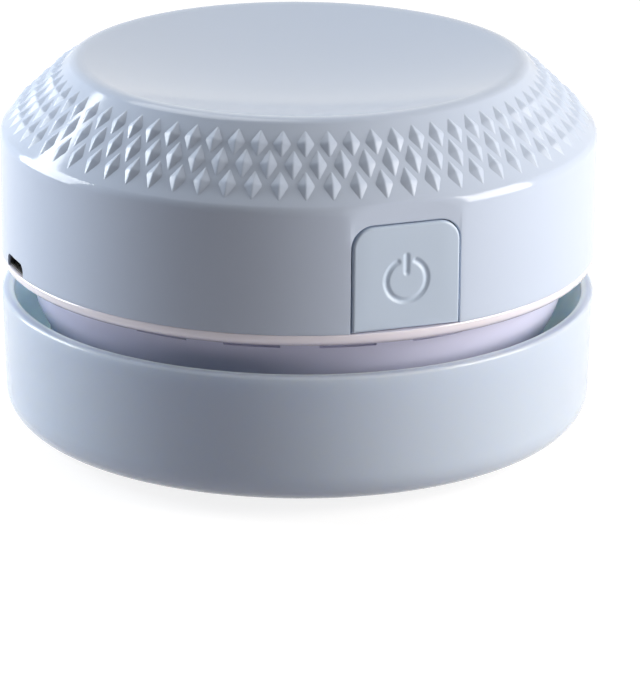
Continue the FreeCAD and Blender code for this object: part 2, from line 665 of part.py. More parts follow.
def plate_lip():
    """Locating lip inside the upper casing, open at the button, the port and the posts."""
    outer = HEAD_INNER_RADIUS - MOVE_GAP
    low = PARTING_Z + PLATE_THICKNESS / 2
    high = PLATE_TOP_Z + PLATE_LIP_HEIGHT
    lip = tube(outer, outer - PLATE_LIP_WALL, low, high)
    gaps = [block(-GUIDE_HALF_WIDTH - MOVE_GAP, GUIDE_HALF_WIDTH + MOVE_GAP, -BODY_RADIUS, 0,
                  PLATE_TOP_Z, high),
            block(-BODY_RADIUS, 0, -BOARD_TONGUE_WIDTH / 2, BOARD_TONGUE_WIDTH / 2, PLATE_TOP_Z, high)]
    for x, y in head_post_places():
        gaps.append(disc(HEAD_POST_RADIUS + MOVE_GAP, PLATE_TOP_Z, high, x, y))
    return lip.cut(gaps)


def saddles():
    """Two snap saddles that hold the cell along X."""
    half = CELL_RADIUS + SADDLE_WALL
    made = []
    for side in (-1, 1):
        x_low = side * SADDLE_X - SADDLE_THICKNESS / 2
        wall = block(x_low, x_low + SADDLE_THICKNESS, CELL_Y - half, CELL_Y + half,
                     PARTING_Z + PLATE_THICKNESS / 2, CELL_Z + SADDLE_WRAP)
        made.append(wall.cut(Part.makeCylinder(CELL_RADIUS + SNUG_GAP, SADDLE_THICKNESS,
                                               V(x_low, CELL_Y, CELL_Z), V(1, 0, 0))))
    return made


def motor_plate():
    """Plate that closes the head: its rounded rim shows as the band under the upper casing."""
    plate = turned([(0, PARTING_Z, 0), (BODY_RADIUS, PARTING_Z, PLATE_EDGE_RADIUS),
                    (BODY_RADIUS, PLATE_TOP_Z, PLATE_TOP_EDGE), (0, PLATE_TOP_Z, 0)])
    middle = PARTING_Z + PLATE_THICKNESS / 2
    added = [plate_lip()] + saddles()
    added += [disc(BOSS_RADIUS, middle, BOARD_Z, x, y) for x, y in board_mount_places()]
    boss_top = PLATE_TOP_Z + PLATE_BOSS_HEIGHT
    added += [disc(BOSS_RADIUS, middle, boss_top, x, y) for x, y in post_places()]
    holes = [disc(BUSHING_RADIUS + MOVE_GAP, PARTING_Z, PLATE_TOP_Z)]
    holes += [disc(PILOT_RADIUS, PARTING_Z, boss_top, x, y) for x, y in post_places()]
    holes += [disc(PILOT_RADIUS, middle, BOARD_Z, x, y) for x, y in board_mount_places()]
    holes += [disc(SCREW_HOLE_RADIUS, PARTING_Z, PLATE_TOP_Z, side * MOTOR_SCREW_X, 0)
              for side in (-1, 1)]
    for x, y in head_post_places():
        holes.append(disc(SCREW_HOLE_RADIUS, PARTING_Z, PLATE_TOP_Z, x, y))
        holes.append(disc(HEAD_HOLE_RADIUS, PARTING_Z, PARTING_Z + SCREW_HEAD_HEIGHT, x, y))
    return plate.multiFuse(added).cut(holes).removeSplitter()


def housing_screws():
    """Four screws from below through the motor plate into the posts of the upper casing."""
    seat = PARTING_Z + SCREW_HEAD_HEIGHT
    length = PLATE_THICKNESS - SCREW_HEAD_HEIGHT + POST_SCREW_LENGTH
    return Part.makeCompound([screw(x, y, seat, length) for x, y in head_post_places()])


# ---------------------------------------------------------------- head: upper casing

def stud(slope_run, azimuth):
    """Diamond stud, pointed outwards, whose foot is sunk into the cone."""
    length = math.hypot(BODY_RADIUS - CONE_TOP_RADIUS, CONE_RISE)
    down_r = (BODY_RADIUS - CONE_TOP_RADIUS) / length
    down_z = -CONE_RISE / length
    radial = V(math.cos(azimuth), math.sin(azimuth), 0)
    down = radial * down_r + UP * down_z
    out = radial * -down_z + UP * down_r
    around = V(-math.sin(azimuth), math.cos(azimuth), 0)
    radius = CONE_TOP_RADIUS + slope_run * down_r
    foot = radial * radius + UP * (TOP_Z + slope_run * down_z) - out * STUD_SINK
    half_width = STUD_WIDTH_SHARE * 2 * math.pi * radius / STUD_COUNT
    ring = [foot - down * STUD_HALF_HEIGHT, foot + around * half_width,
            foot + down * STUD_HALF_HEIGHT, foot - around * half_width]
    faces = []
    for tip in (foot + out * (STUD_RISE + STUD_SINK), foot - out * STUD_ROOT):
        for i in range(len(ring)):
            corners = [ring[i], ring[(i + 1) % len(ring)], tip, ring[i]]
            faces.append(Part.Face(Part.makePolygon(corners)))
    return outward(Part.makeSolid(Part.makeShell(faces)))


def studs():
    """Three rows of studs; every other row is shifted by half the spacing."""
    made = []
    step = 2 * math.pi / STUD_COUNT
    first = math.radians(STUD_FIRST_ANGLE)
    for row in range(STUD_ROWS):
        for i in range(STUD_COUNT):
            made.append(stud(STUD_FIRST + row * STUD_ROW_PITCH, first + (i + row % 2 / 2) * step))
    return made


def head_form():
    """Outside of the upper casing with its dished top and the flat round the button."""
    form = turned([
        (0, PLATE_TOP_Z, 0),
        (BODY_RADIUS, PLATE_TOP_Z, SEAM_EDGE),
        (BODY_RADIUS, SHOULDER_Z, SHOULDER_RADIUS),
        (CONE_TOP_RADIUS, TOP_Z, RIM_RADIUS),
        (0, TOP_Z, 0)])
    dish = Part.makeSphere(DISH_SPHERE_RADIUS, V(0, 0, DISH_CENTRE_Z))
    landing = block(-BODY_RADIUS, BODY_RADIUS, -2 * BODY_RADIUS, -LANDING_DISTANCE, PLATE_TOP_Z, TOP_Z)
    return form.cut([dish, landing])


def head_cavity():
    """Inside of the upper casing, one wall thickness in from its outside."""
    slope = math.atan2(CONE_RISE, BODY_RADIUS - CONE_TOP_RADIUS)
    knee_z = SHOULDER_Z - HEAD_WALL * math.tan(slope / 2)
    rise = TOP_Z - HEAD_WALL - knee_z
    inner_top = HEAD_INNER_RADIUS - rise / math.tan(slope)
    cavity = turned([(0, PLATE_TOP_Z, 0), (HEAD_INNER_RADIUS, PLATE_TOP_Z, 0),
                     (HEAD_INNER_RADIUS, knee_z, 0), (inner_top, TOP_Z - HEAD_WALL, 0),
                     (0, TOP_Z - HEAD_WALL, 0)])
    dish_back = Part.makeSphere(DISH_SPHERE_RADIUS + HEAD_WALL, V(0, 0, DISH_CENTRE_Z))
    return cavity.cut(dish_back)


def upright_outline(half_width, z_low, z_high, y, depth, corner):
    """Plate facing -Y with its two top corners rounded, from y towards +Y."""
    points = [V(-half_width, y, z_low), V(half_width, y, z_low),
              V(half_width, y, z_high), V(-half_width, y, z_high)]
    face = Part.Face(rounded_wire(points, [0, 0, corner, corner]))
    return outward(face.extrude(V(0, depth, 0)))


def port_cut():
    """Opening for the charging socket, on -X, just above the motor plate."""
    half = SOCKET_WIDTH / 2 + PORT_GAP
    top = BOARD_Z + PORT_GAP
    points = [V(-BODY_RADIUS, -half, PLATE_TOP_Z), V(-BODY_RADIUS, half, PLATE_TOP_Z),
              V(-BODY_RADIUS, half, top), V(-BODY_RADIUS, -half, top)]
    wire = rounded_wire(points, [0, 0, SOCKET_CORNER, SOCKET_CORNER])
    return outward(Part.Face(wire).extrude(V(2 * HEAD_WALL, 0, 0)))


def motor_ring():
    """Ring under the dish that steadies the end of the motor, open for its leads."""
    inner = CAN_RADIUS + MOVE_GAP
    low = CAN_TOP_Z - MOTOR_RING_DEPTH + END_CAP_THICKNESS
    ring = tube(inner + MOTOR_RING_WALL, inner, low, TOP_Z - DISH_DEPTH - HEAD_WALL / 2)
    return ring.cut(block(-MOTOR_RING_NOTCH, MOTOR_RING_NOTCH, -BODY_RADIUS, 0, low, TOP_Z))


def top_shell():
    """Upper casing: dished top, studded cone, straight wall, posts and button guide."""
    form = head_form()
    shell = form.cut(head_cavity())
    posts = [disc(HEAD_POST_RADIUS, PLATE_TOP_Z, TOP_Z, x, y) for x, y in head_post_places()]
    inside = Part.makeCompound([post.common(form) for post in posts])
    shell = shell.multiFuse(inside.Solids + [motor_ring()] + studs())
    slot = upright_outline(SLOT_WIDTH / 2, PARTING_Z, SLOT_TOP_Z, -BODY_RADIUS, 2 * HEAD_WALL, SLOT_CORNER)
    guide = block(-GUIDE_HALF_WIDTH, GUIDE_HALF_WIDTH, -GUIDE_DISTANCE, -GUIDE_DISTANCE + 2 * HEAD_WALL,
                  PARTING_Z, SLOT_TOP_Z + FLANGE_OVERLAP + MOVE_GAP)
    holes = [slot, guide, port_cut()]
    holes += [disc(PILOT_RADIUS, PLATE_TOP_Z, PLATE_TOP_Z + POST_SCREW_LENGTH + SCREW_TIP_GAP, x, y)
              for x, y in head_post_places()]
    return shell.cut(holes)


# ---------------------------------------------------------------- head: motor

def motor_can():
    """Drawn steel can of the motor, open at the top."""
    inner_base = PLATE_TOP_Z + CAN_BASE
    can = turned([(BUSHING_RADIUS, PLATE_TOP_Z, 0), (CAN_RADIUS, PLATE_TOP_Z, CAN_EDGE),
                  (CAN_RADIUS, CAN_TOP_Z, 0), (CAN_INNER_RADIUS, CAN_TOP_Z, 0),
                  (CAN_INNER_RADIUS, inner_base, CAN_EDGE - CAN_WALL), (BUSHING_RADIUS, inner_base, 0)])
    return can.cut([disc(PILOT_RADIUS, PLATE_TOP_Z, inner_base, side * MOTOR_SCREW_X, 0)
                    for side in (-1, 1)])


def motor_bushing():
    """Sintered bearing in the base of the can, standing through the motor plate."""
    return tube(BUSHING_RADIUS, SHAFT_HOLE_RADIUS, PLATE_TOP_Z - BUSHING_BELOW,
                PLATE_TOP_Z + BUSHING_ABOVE)


def motor_end_cap():
    """Moulded cap with the rear bearing and slots for the terminals."""
    plug = CAN_INNER_RADIUS - SNUG_GAP
    cap = turned([(SHAFT_HOLE_RADIUS, CAN_TOP_Z - END_CAP_PLUG, 0), (plug, CAN_TOP_Z - END_CAP_PLUG, 0),
                  (plug, CAN_TOP_Z, 0), (CAN_RADIUS, CAN_TOP_Z, 0), (CAN_RADIUS, END_CAP_TOP_Z, END_CAP_EDGE),
                  (SHAFT_HOLE_RADIUS, END_CAP_TOP_Z, 0)])
    return cap.cut([terminal(side) for side in (-1, 1)])


def terminal(side):
    """One solder tab, from inside the end cap to above it."""
    x = side * TERMINAL_X
    return block(x - TERMINAL_WIDTH / 2, x + TERMINAL_WIDTH / 2, -TERMINAL_THICKNESS / 2,
                 TERMINAL_THICKNESS / 2, CAN_TOP_Z - END_CAP_PLUG, END_CAP_TOP_Z + TERMINAL_HEIGHT)


def motor_terminals():
    return Part.makeCompound([terminal(side) for side in (-1, 1)])


def motor_magnets():
    """Two curved magnets against the wall of the can."""
    outer = CAN_INNER_RADIUS - SNUG_GAP
    low = (PLATE_TOP_Z + CAN_BASE + CAN_TOP_Z - END_CAP_PLUG - MAGNET_LENGTH) / 2
    magnet = arc_block(outer - MAGNET_THICKNESS, outer, low, low + MAGNET_LENGTH, MAGNET_ARC)
    return Part.makeCompound(ring_of(magnet, 2))


def motor_screws():
    """Two screws from below through the motor plate into the base of the can."""
    length = PLATE_THICKNESS + CAN_BASE
    return Part.makeCompound([screw(side * MOTOR_SCREW_X, 0, PARTING_Z, length) for side in (-1, 1)])


# ---------------------------------------------------------------- head: cell and electronics

def along_x(radius, x_low, x_high, edge=0.0):
    """Round bar along X at the cell's axis, with rounded ends."""
    bar = turned([(0, 0, 0), (radius, 0, edge), (radius, x_high - x_low, edge), (0, x_high - x_low, 0)])
    bar.rotate(CENTRE, V(0, 1, 0), 90)
    bar.translate(V(x_low, CELL_Y, CELL_Z))
    return bar


def battery_cell():
    """Rechargeable cell lying in the saddles behind the motor, with its plus end on +X."""
    end = CELL_LENGTH / 2
    body = along_x(CELL_RADIUS, -end, end - CELL_NUB_LENGTH, CELL_EDGE)
    nub = along_x(CELL_NUB_RADIUS, end - 2 * CELL_NUB_LENGTH, end)
    return body.fuse(nub)


def battery_tabs():
    """Nickel strips welded to the ends of the cell."""
    end = CELL_LENGTH / 2
    made = []
    for x_low in (-end - TAB_THICKNESS, end):
        made.append(block(x_low, x_low + TAB_THICKNESS, CELL_Y - TAB_WIDTH / 2 - CELL_RADIUS / 2,
                          CELL_Y + TAB_WIDTH / 2, CELL_Z - TAB_HEIGHT / 2, CELL_Z + TAB_HEIGHT / 2))
    return Part.makeCompound(made)


def control_board():
    """Crescent board round the motor, with a tongue over the charging socket."""
    board = tube(BOARD_RADIUS, BOARD_INNER_RADIUS, BOARD_Z, BOARD_TOP_Z)
    tongue = block(-BOARD_TONGUE_X, -BOARD_INNER_RADIUS - BOARD_TONGUE_WIDTH,
                   -BOARD_TONGUE_WIDTH / 2, BOARD_TONGUE_WIDTH / 2, BOARD_Z, BOARD_TOP_Z)
    back = block(-BODY_RADIUS, BODY_RADIUS, BOARD_BACK_Y, BODY_RADIUS, BOARD_Z, BOARD_TOP_Z)
    holes = [back]
    holes += [disc(SCREW_HOLE_RADIUS, BOARD_Z, BOARD_TOP_Z, x, y) for x, y in board_mount_places()]
    return board.fuse(tongue).cut(holes).removeSplitter()


def board_screws():
    length = BOARD_THICKNESS + BOARD_Z - PLATE_TOP_Z - SCREW_TIP_GAP
    return Part.makeCompound([screw(x, y, BOARD_TOP_Z, length, upwards=False)
                              for x, y in board_mount_places()])


def socket_outline(inset, x_low, x_high):
    """Bar along X with the socket's section, shrunk by an inset on every side."""
    half = SOCKET_WIDTH / 2 - inset
    low = BOARD_Z - SOCKET_HEIGHT + inset
    high = BOARD_Z - inset
    corner = SOCKET_CORNER - inset
    points = [V(x_low, -half, low), V(x_low, half, low), V(x_low, half, high), V(x_low, -half, high)]
    wire = rounded_wire(points, [corner] * 4)
    return outward(Part.Face(wire).extrude(V(x_high - x_low, 0, 0)))


def socket_mouth_x():
    return -(BODY_RADIUS - SOCKET_INSET)


def usb_socket():
    """Steel shell of the charging socket, hung under the board and open to -X."""
    mouth = socket_mouth_x()
    shell = socket_outline(0, mouth, mouth + SOCKET_DEPTH)
    return shell.cut(socket_outline(SOCKET_WALL, mouth, mouth + SOCKET_DEPTH - SOCKET_BACK))


def usb_tongue():
    """Contact tongue inside the socket, standing on its back wall."""
    back = socket_mouth_x() + SOCKET_DEPTH - SOCKET_BACK
    middle = BOARD_Z - SOCKET_HEIGHT / 2
    return block(back - TONGUE_LENGTH, back, -TONGUE_WIDTH / 2, TONGUE_WIDTH / 2,
                 middle - TONGUE_THICKNESS / 2, middle + TONGUE_THICKNESS / 2)


def push_switch():
    """Side-acting push switch at the front edge of the board."""
    body = block(-SWITCH_WIDTH / 2, SWITCH_WIDTH / 2, -SWITCH_FRONT, -SWITCH_FRONT + SWITCH_DEPTH,
                 BOARD_TOP_Z, BOARD_TOP_Z + SWITCH_HEIGHT)
    depth = PLUNGER_INSIDE + BUTTON_TRAVEL + MOVE_GAP
    return body.cut(Part.makeCylinder(PLUNGER_RADIUS + BUTTON_GAP, depth, V(0, -SWITCH_FRONT, PRESS_Z),
                                      V(0, 1, 0)))


def control_chips():
    """Charging chip, switching transistor, coil and capacitor on the board."""
    charger = Part.makeBox(CHARGER_WIDTH, CHARGER_DEPTH, CHARGER_HEIGHT,
                           V(-CHARGER_WIDTH / 2, -CHARGER_DEPTH / 2, BOARD_TOP_Z))
    transistor = Part.makeBox(TRANSISTOR_WIDTH, TRANSISTOR_DEPTH, TRANSISTOR_HEIGHT,
                              V(-TRANSISTOR_WIDTH / 2, -TRANSISTOR_DEPTH / 2, BOARD_TOP_Z))
    coil = rounded_block(COIL_WIDTH / 2, COIL_WIDTH / 2, BOARD_TOP_Z, BOARD_TOP_Z + COIL_HEIGHT, COIL_CORNER)
    capacitor = disc(CAPACITOR_RADIUS, BOARD_TOP_Z, BOARD_TOP_Z + CAPACITOR_HEIGHT)
    placed = ((charger, CHARGER_ANGLE), (transistor, TRANSISTOR_ANGLE),
              (coil, COIL_ANGLE), (capacitor, CAPACITOR_ANGLE))
    for chip, angle in placed:
        x, y = polar(BOARD_RADIUS - CHIP_INSET, angle)
        chip.translate(V(x, y, 0))
    return Part.makeCompound([chip for chip, _ in placed])


def lead(points):
    """Round insulated wire through the points, with rounded turns."""
    path = rounded_wire(points, [LEAD_BEND] * len(points), closed=False)
    direction = (points[1] - points[0]).normalize()
    circle = Part.Wire(Part.Circle(points[0], direction, LEAD_RADIUS).toShape())
    return outward(path.makePipeShell([circle], True, True))


def motor_leads():
    """Two wires from the motor's terminals over the end cap and down to the board."""
    z = END_CAP_TOP_Z + TERMINAL_HEIGHT / 2
    drop_y = -(CAN_RADIUS + MOVE_GAP + MOTOR_RING_WALL + 3 * LEAD_RADIUS)
    made = []
    for side in (-1, 1):
        x = side * TERMINAL_X
        made.append(lead([V(x, -TERMINAL_THICKNESS / 2, z), V(x, drop_y, z), V(x, drop_y, BOARD_TOP_Z)]))
    return Part.makeCompound(made)


def battery_leads():
    """Two wires from the cell's tabs to the ends of the board."""
    made = []
    y_start = CELL_Y - CELL_RADIUS / 2 - TAB_WIDTH / 2 + LEAD_RADIUS
    y_end = BOARD_BACK_Y - 2 * LEAD_RADIUS
    for side in (-1, 1):
        x = side * (CELL_LENGTH / 2 + TAB_THICKNESS)
        out = x + side * LEAD_BEND * 2
        z = CELL_Z
        made.append(lead([V(x, y_start, z), V(out, y_start, z), V(out, y_end, z),
                          V(out, y_end, BOARD_TOP_Z)]))
    return Part.makeCompound(made)


# ---------------------------------------------------------------- rotor

def motor_shaft():
    return disc(SHAFT_RADIUS, BLADE_Z, END_CAP_TOP_Z)


def motor_armature():
    """Laminated armature with three winding slots, on the shaft between the magnets."""
    radius = CAN_INNER_RADIUS - MAGNET_THICKNESS - ARMATURE_GAP
    low = (PLATE_TOP_Z + CAN_BASE + CAN_TOP_Z - END_CAP_PLUG - ARMATURE_LENGTH) / 2 + ARMATURE_GAP
    core = tube(radius, SHAFT_RADIUS, low, low + ARMATURE_LENGTH)
    slot = block(radius - ARMATURE_SLOT_DEPTH, CAN_RADIUS, -ARMATURE_SLOT_WIDTH / 2,
                 ARMATURE_SLOT_WIDTH / 2, low, low + ARMATURE_LENGTH)
    return core.cut(ring_of(slot, ARMATURE_SLOTS))


def blade():
    """One backward-curved blade: a strip of a ring, between the eye and the rim."""
    low = BLADE_Z
    high = IMPELLER_PLATE_Z
    curve = BLADE_ARC_SHARE * IMPELLER_RADIUS
    offset = BLADE_OFFSET_SHARE * IMPELLER_RADIUS
    strip = disc(curve + BLADE_THICKNESS / 2, low, high, offset)
    strip = strip.cut(disc(curve - BLADE_THICKNESS / 2, low, high, offset))
    reach = tube(IMPELLER_RADIUS - BLADE_TIP_INSET, BLADE_INNER_RADIUS, low, high)
    return strip.common(reach).common(block(0, BODY_RADIUS, 0, BODY_RADIUS, low, high))


def fan_impeller():
    """Centrifugal fan: back plate on top, curved blades below it, hub on the shaft."""
    hub_top = IMPELLER_TOP_Z + FAN_HUB_RISE
    wheel = turned([(SHAFT_RADIUS, BLADE_Z, 0), (FAN_HUB_RADIUS, BLADE_Z, FAN_HUB_EDGE),
                    (FAN_HUB_RADIUS, IMPELLER_PLATE_Z, 0), (IMPELLER_RADIUS, IMPELLER_PLATE_Z, 0),
                    (IMPELLER_RADIUS, IMPELLER_TOP_Z, IMPELLER_EDGE), (FAN_HUB_RADIUS, IMPELLER_TOP_Z, 0),
                    (FAN_HUB_RADIUS, hub_top, 0), (SHAFT_RADIUS, hub_top, 0)])
    return wheel.multiFuse(ring_of(blade(), BLADE_COUNT)).removeSplitter()


# ---------------------------------------------------------------- button

def power_button():
    """Flat push button with a retaining flange behind the casing and a stem to the switch."""
    half = SLOT_WIDTH / 2 - BUTTON_GAP
    low = PLATE_TOP_Z + BUTTON_GAP
    high = SLOT_TOP_Z - BUTTON_GAP
    face_y = -(LANDING_DISTANCE + BUTTON_PROUD)
    cap = upright_outline(half, low, high, face_y, -face_y - FLANGE_FRONT, SLOT_CORNER - BUTTON_GAP)
    rim = [edge for edge in cap.Edges if abs(edge.BoundBox.YMax - face_y) < TOUCHING]
    cap = cap.makeFillet(BUTTON_EDGE, rim)
    flange = block(-FLANGE_HALF_WIDTH, FLANGE_HALF_WIDTH, -FLANGE_FRONT, -FLANGE_BACK, low,
                   SLOT_TOP_Z + FLANGE_OVERLAP)
    stem = Part.makeCylinder(STEM_RADIUS, FLANGE_FRONT - PLUNGER_FRONT, V(0, -FLANGE_FRONT, PRESS_Z),
                             V(0, 1, 0))
    return cap.multiFuse([flange, stem]).removeSplitter()


def switch_plunger():
    return Part.makeCylinder(PLUNGER_RADIUS, PLUNGER_REACH + PLUNGER_INSIDE,
                             V(0, -PLUNGER_FRONT, PRESS_Z), V(0, 1, 0))


BIN_AND_FILTER = (lower_shell, glide_feet, brush_plate, brush_tufts, dust_cup, base_screws,
                  filter_frame, filter_mesh, filter_seal)
HEAD = (top_shell, motor_plate, fan_housing, motor_can, motor_bushing, motor_end_cap, motor_terminals,
        motor_magnets, battery_cell, battery_tabs, control_board, usb_socket, usb_tongue, push_switch,
        control_chips, motor_leads, battery_leads, housing_screws, motor_screws, fan_housing_screws,
        board_screws, motor_shaft, motor_armature, fan_impeller, power_button, switch_plunger)

os.makedirs("parts", exist_ok=True)
for make in BIN_AND_FILTER:
    make().exportStep("parts/%s.step" % make.__name__)
for make in HEAD:
    about_axis(make(), HEAD_TURN).exportStep("parts/%s.step" % make.__name__)
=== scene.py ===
"""Finish and fine form of a round desktop mini vacuum cleaner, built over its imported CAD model.

Forms are drawn in millimetres and scaled to metres as each piece is closed. The head's own pieces
are drawn with the power key towards -Y, then turned with the head.
"""
import json
import math

import bmesh
import bpy
from mathutils import Matrix, Quaternion, Vector


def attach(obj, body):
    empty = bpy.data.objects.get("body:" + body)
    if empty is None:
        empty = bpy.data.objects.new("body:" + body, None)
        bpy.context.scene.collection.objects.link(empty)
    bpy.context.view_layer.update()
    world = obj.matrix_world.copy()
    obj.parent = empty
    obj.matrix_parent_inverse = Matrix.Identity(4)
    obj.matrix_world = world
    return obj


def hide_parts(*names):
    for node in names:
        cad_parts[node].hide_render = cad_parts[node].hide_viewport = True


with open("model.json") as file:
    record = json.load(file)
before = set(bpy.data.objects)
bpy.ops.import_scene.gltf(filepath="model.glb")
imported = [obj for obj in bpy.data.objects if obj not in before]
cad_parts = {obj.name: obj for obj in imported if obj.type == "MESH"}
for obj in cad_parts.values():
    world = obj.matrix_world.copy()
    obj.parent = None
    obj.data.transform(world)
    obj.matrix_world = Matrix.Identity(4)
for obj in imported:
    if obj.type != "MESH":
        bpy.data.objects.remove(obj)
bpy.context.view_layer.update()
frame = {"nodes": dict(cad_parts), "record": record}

MM = 0.001
MICRON = 0.000001
UP = Vector((0, 0, 1))

# Sizes shared with the solids, in millimetres
BODY_RADIUS = 43.0
BASE_Z = 2.0
BASE_RADIUS = 42.4
BASE_EDGE = 5.0
CASING_WALL = 1.8
CASING_TOP_Z = 21.3
PLATE_TOP_Z = 27.4
SHOULDER_Z = 45.14
CONE_TOP_RADIUS = 32.5
TOP_Z = 55.15
DISH_RADIUS = 31.0
DISH_DEPTH = 3.5
HEAD_WALL = 2.0
HEAD_TURN = math.radians(20)
LANDING = 42.2
SLOT_HALF = 8.0
SLOT_TOP_Z = 42.6
SLOT_CORNER = 3.1
KEY_FACE = 42.5
KEY_GAP = 0.15
SIGN_Z = 34.5
SIGN_RADIUS = 2.98
SIGN_GAP = math.radians(27)
SIGN_BAR = (1.1, 3.45)
STUD_COUNT = 70
STUD_FIRST = math.radians(-1.06)
STUD_ROWS = ((3.95, 2.6), (7.27, 2.88), (10.61, 2.8))      # down the slope, and half height
STUD_HALF_WIDTH = 1.45
STUD_HEIGHT = 0.66
STUD_SINK = 0.09

# Slope of the cone, from its rim to its shoulder
CONE_LENGTH = math.hypot(BODY_RADIUS - CONE_TOP_RADIUS, TOP_Z - SHOULDER_Z)
CONE_OUT = (BODY_RADIUS - CONE_TOP_RADIUS) / CONE_LENGTH
CONE_DOWN = (TOP_Z - SHOULDER_Z) / CONE_LENGTH

# Finer sizes of the upper casing
DISH_ARC_SHORT = 0.9          # the dish's arc ends this far inside its edge
DISH_ARC_DROP = 0.2           # and this far below it
DISH_EDGE_ROUNDING = 4.8
RIM_ROUNDING = 2.0
CONE_STATIONS = (1.0, 7.0, 13.1)
SHOULDER_ROUNDING = 1.8
SHOULDER_MARGIN = 1.5         # wall kept straight next to the shoulder's rounding
FOOT_MARGIN = 0.6
FOOT_ROUNDING = 0.12
INNER_SHOULDER_DROP = 0.8
INNER_DISH_GROWTH = 0.26
LANDING_REACH = 1.0
LANDING_EASE = 0.05           # softness of the landing's border on the wall
SHOULDER_EASE = 0.6           # and how much it gains at the shoulder
EASE_START = 2.0              # below the shoulder
EASE_HEIGHT = 3.0
CUTTER_OVERRUN = 1.0
SLOT_OVERRUN = 1.5
SLOT_DEPTH = 3.0
SLOT_FLARE = 0.22
SLOT_FLARE_TURNS = (0.0, 0.35, 0.7, 1.05, 1.35)            # radians round the flare
SLOT_MOUTH_GROWTH = 0.2
GUIDE_HALF = 9.4
GUIDE_FRONT = 40.9
GUIDE_BACK = 37.0
GUIDE_TOP_Z = 44.0
STUD_RIDGE = 0.13

# Charging opening and its liner
PORT_HALF = 3.5
PORT_TOP_Z = 29.4
PORT_CORNER = 1.2
PORT_OVERRUN = 1.5
PORT_DEPTH = 3.5
PORT_TURN = math.radians(-90)
LINER_FACE = 42.55
LINER_DEPTH = 1.35
LINER_GAP = 0.08
LINER_FOOT_GAP = 0.06
LINER_CORNER = 1.1
LINER_FOOT_ROUNDING = 0.3
LINER_WALL = 0.3
LINER_TOP_WALL = 0.27
LINER_FOOT_WALL = 0.32
LINER_HOLE_CORNER = 0.9
LINER_HOLE_FOOT_ROUNDING = 0.2

# Power key
KEY_THICKNESS = 2.0
KEY_EDGE = 0.42
SIGN_FIELD = 4.8              # half the side of the fine net that carries the sign
SIGN_CELLS = 110
GROOVE_HALF = 0.62
GROOVE_DEPTH = 0.21

# Lower casing
CASING_FLOOR_Z = 3.8
CASING_FLOOR_ROUNDING = 3.2
CASING_INNER_LIP = 0.3
CASING_OUTER_LIP = 0.45
INNER_LIP_MARGIN = 1.2
OUTER_LIP_MARGIN = 1.3
BASE_EDGE_MARGIN = 5.6
POCKET_RADIUS = 30.4
POCKET_TOP_Z = 4.0
POCKET_WALL = 1.4
POCKET_EDGE = 0.25
INLET_HALF_LENGTH = 13.6
INLET_HALF_WIDTH = 5.6
INLET_CORNER = 3.6
SCREW_HOLE = 1.25
SCREW_OFFSET = 22.0

# Screen behind the air outlets of the fan bowl
SCREEN_RADIUS = 37.12
SCREEN_THICKNESS = 0.22
SCREEN_LOW_Z = 23.6
SCREEN_HIGH_Z = 25.42

# Bristles
TUFT_COUNT = 11
TUFT_PITCH = 2.6
TUFT_ROW = 7.2
TUFT_ROOT_Z = 3.3
TUFT_RADIUS = 0.62
HAIRS_PER_TUFT = 26
HAIR_LENGTH = 3.15
HAIR_TIP = 0.05
HAIR_ROOT = 0.085
HAIR_LEAN = 0.09

TURN_STEPS = 720
SCREEN_STEPS = 180


# ---------------------------------------------------------------- shaping

def clamped(value):
    """A value held between nought and one."""
    return min(max(value, 0.0), 1.0)


def as_mesh(bm, name):
    """Moves a form into a new mesh."""
    mesh = bpy.data.meshes.new(name)
    bm.to_mesh(mesh)
    bm.free()
    return mesh


def in_scene(name, data):
    """A new object at the origin of the scene."""
    thing = bpy.data.objects.new(name, data)
    bpy.context.scene.collection.objects.link(thing)
    return thing


def turn_about_z(bm, angle):
    """Turns a form round the cleaner's axis."""
    bmesh.ops.rotate(bm, cent=(0, 0, 0), matrix=Matrix.Rotation(angle, 3, "Z"), verts=bm.verts)


def stamp(bm, pattern, place):
    """Adds a copy of a small mesh, set in its place."""
    before = len(bm.verts)
    bm.from_mesh(pattern)
    bm.verts.ensure_lookup_table()
    bmesh.ops.transform(bm, matrix=place, verts=bm.verts[before:])


def rounded_chain(bm, corners):
    """Edges through (x, z, rounding, segments) corners in the XZ plane, each rounded by a bevel."""
    verts = [bm.verts.new((corner[0], 0, corner[1])) for corner in corners]
    for first, second in zip(verts, verts[1:]):
        bm.edges.new((first, second))
    places = [vert.co.copy() for vert in verts]
    for i, corner in enumerate(corners):
        if len(corner) < 3:
            continue
        here = places[i]
        half = (places[i - 1] - here).angle(places[(i + 1) % len(places)] - here) / 2
        bmesh.ops.bevel(bm, geom=[verts[i]], offset=corner[2] / math.tan(half), offset_type="OFFSET",
                        segments=corner[3], profile=0.5, affect="VERTICES", material=-1,
                        clamp_overlap=False)


def arch(half, low, high, corner, segments, foot=()):
    """Corners of an upright opening with a rounded top, and a rounded foot where one is given."""
    return [(0, low), (-half, low, *foot), (-half, high, corner, segments),
            (half, high, corner, segments), (half, low, *foot), (0, low)]


def dished_arc(bm, rim_radius, rim_z, sphere_radius, steps):
    """The arc of a shallow dish, from its rim to the axis."""
    half_angle = math.asin(rim_radius / sphere_radius)
    centre_z = rim_z + sphere_radius * math.cos(half_angle)
    start = bm.verts.new((rim_radius, 0, rim_z))
    bmesh.ops.spin(bm, geom=[start], cent=(0, 0, centre_z), axis=(0, 1, 0), dvec=(0, 0, 0),
                   angle=half_angle, steps=steps, use_merge=False, use_duplicate=False)


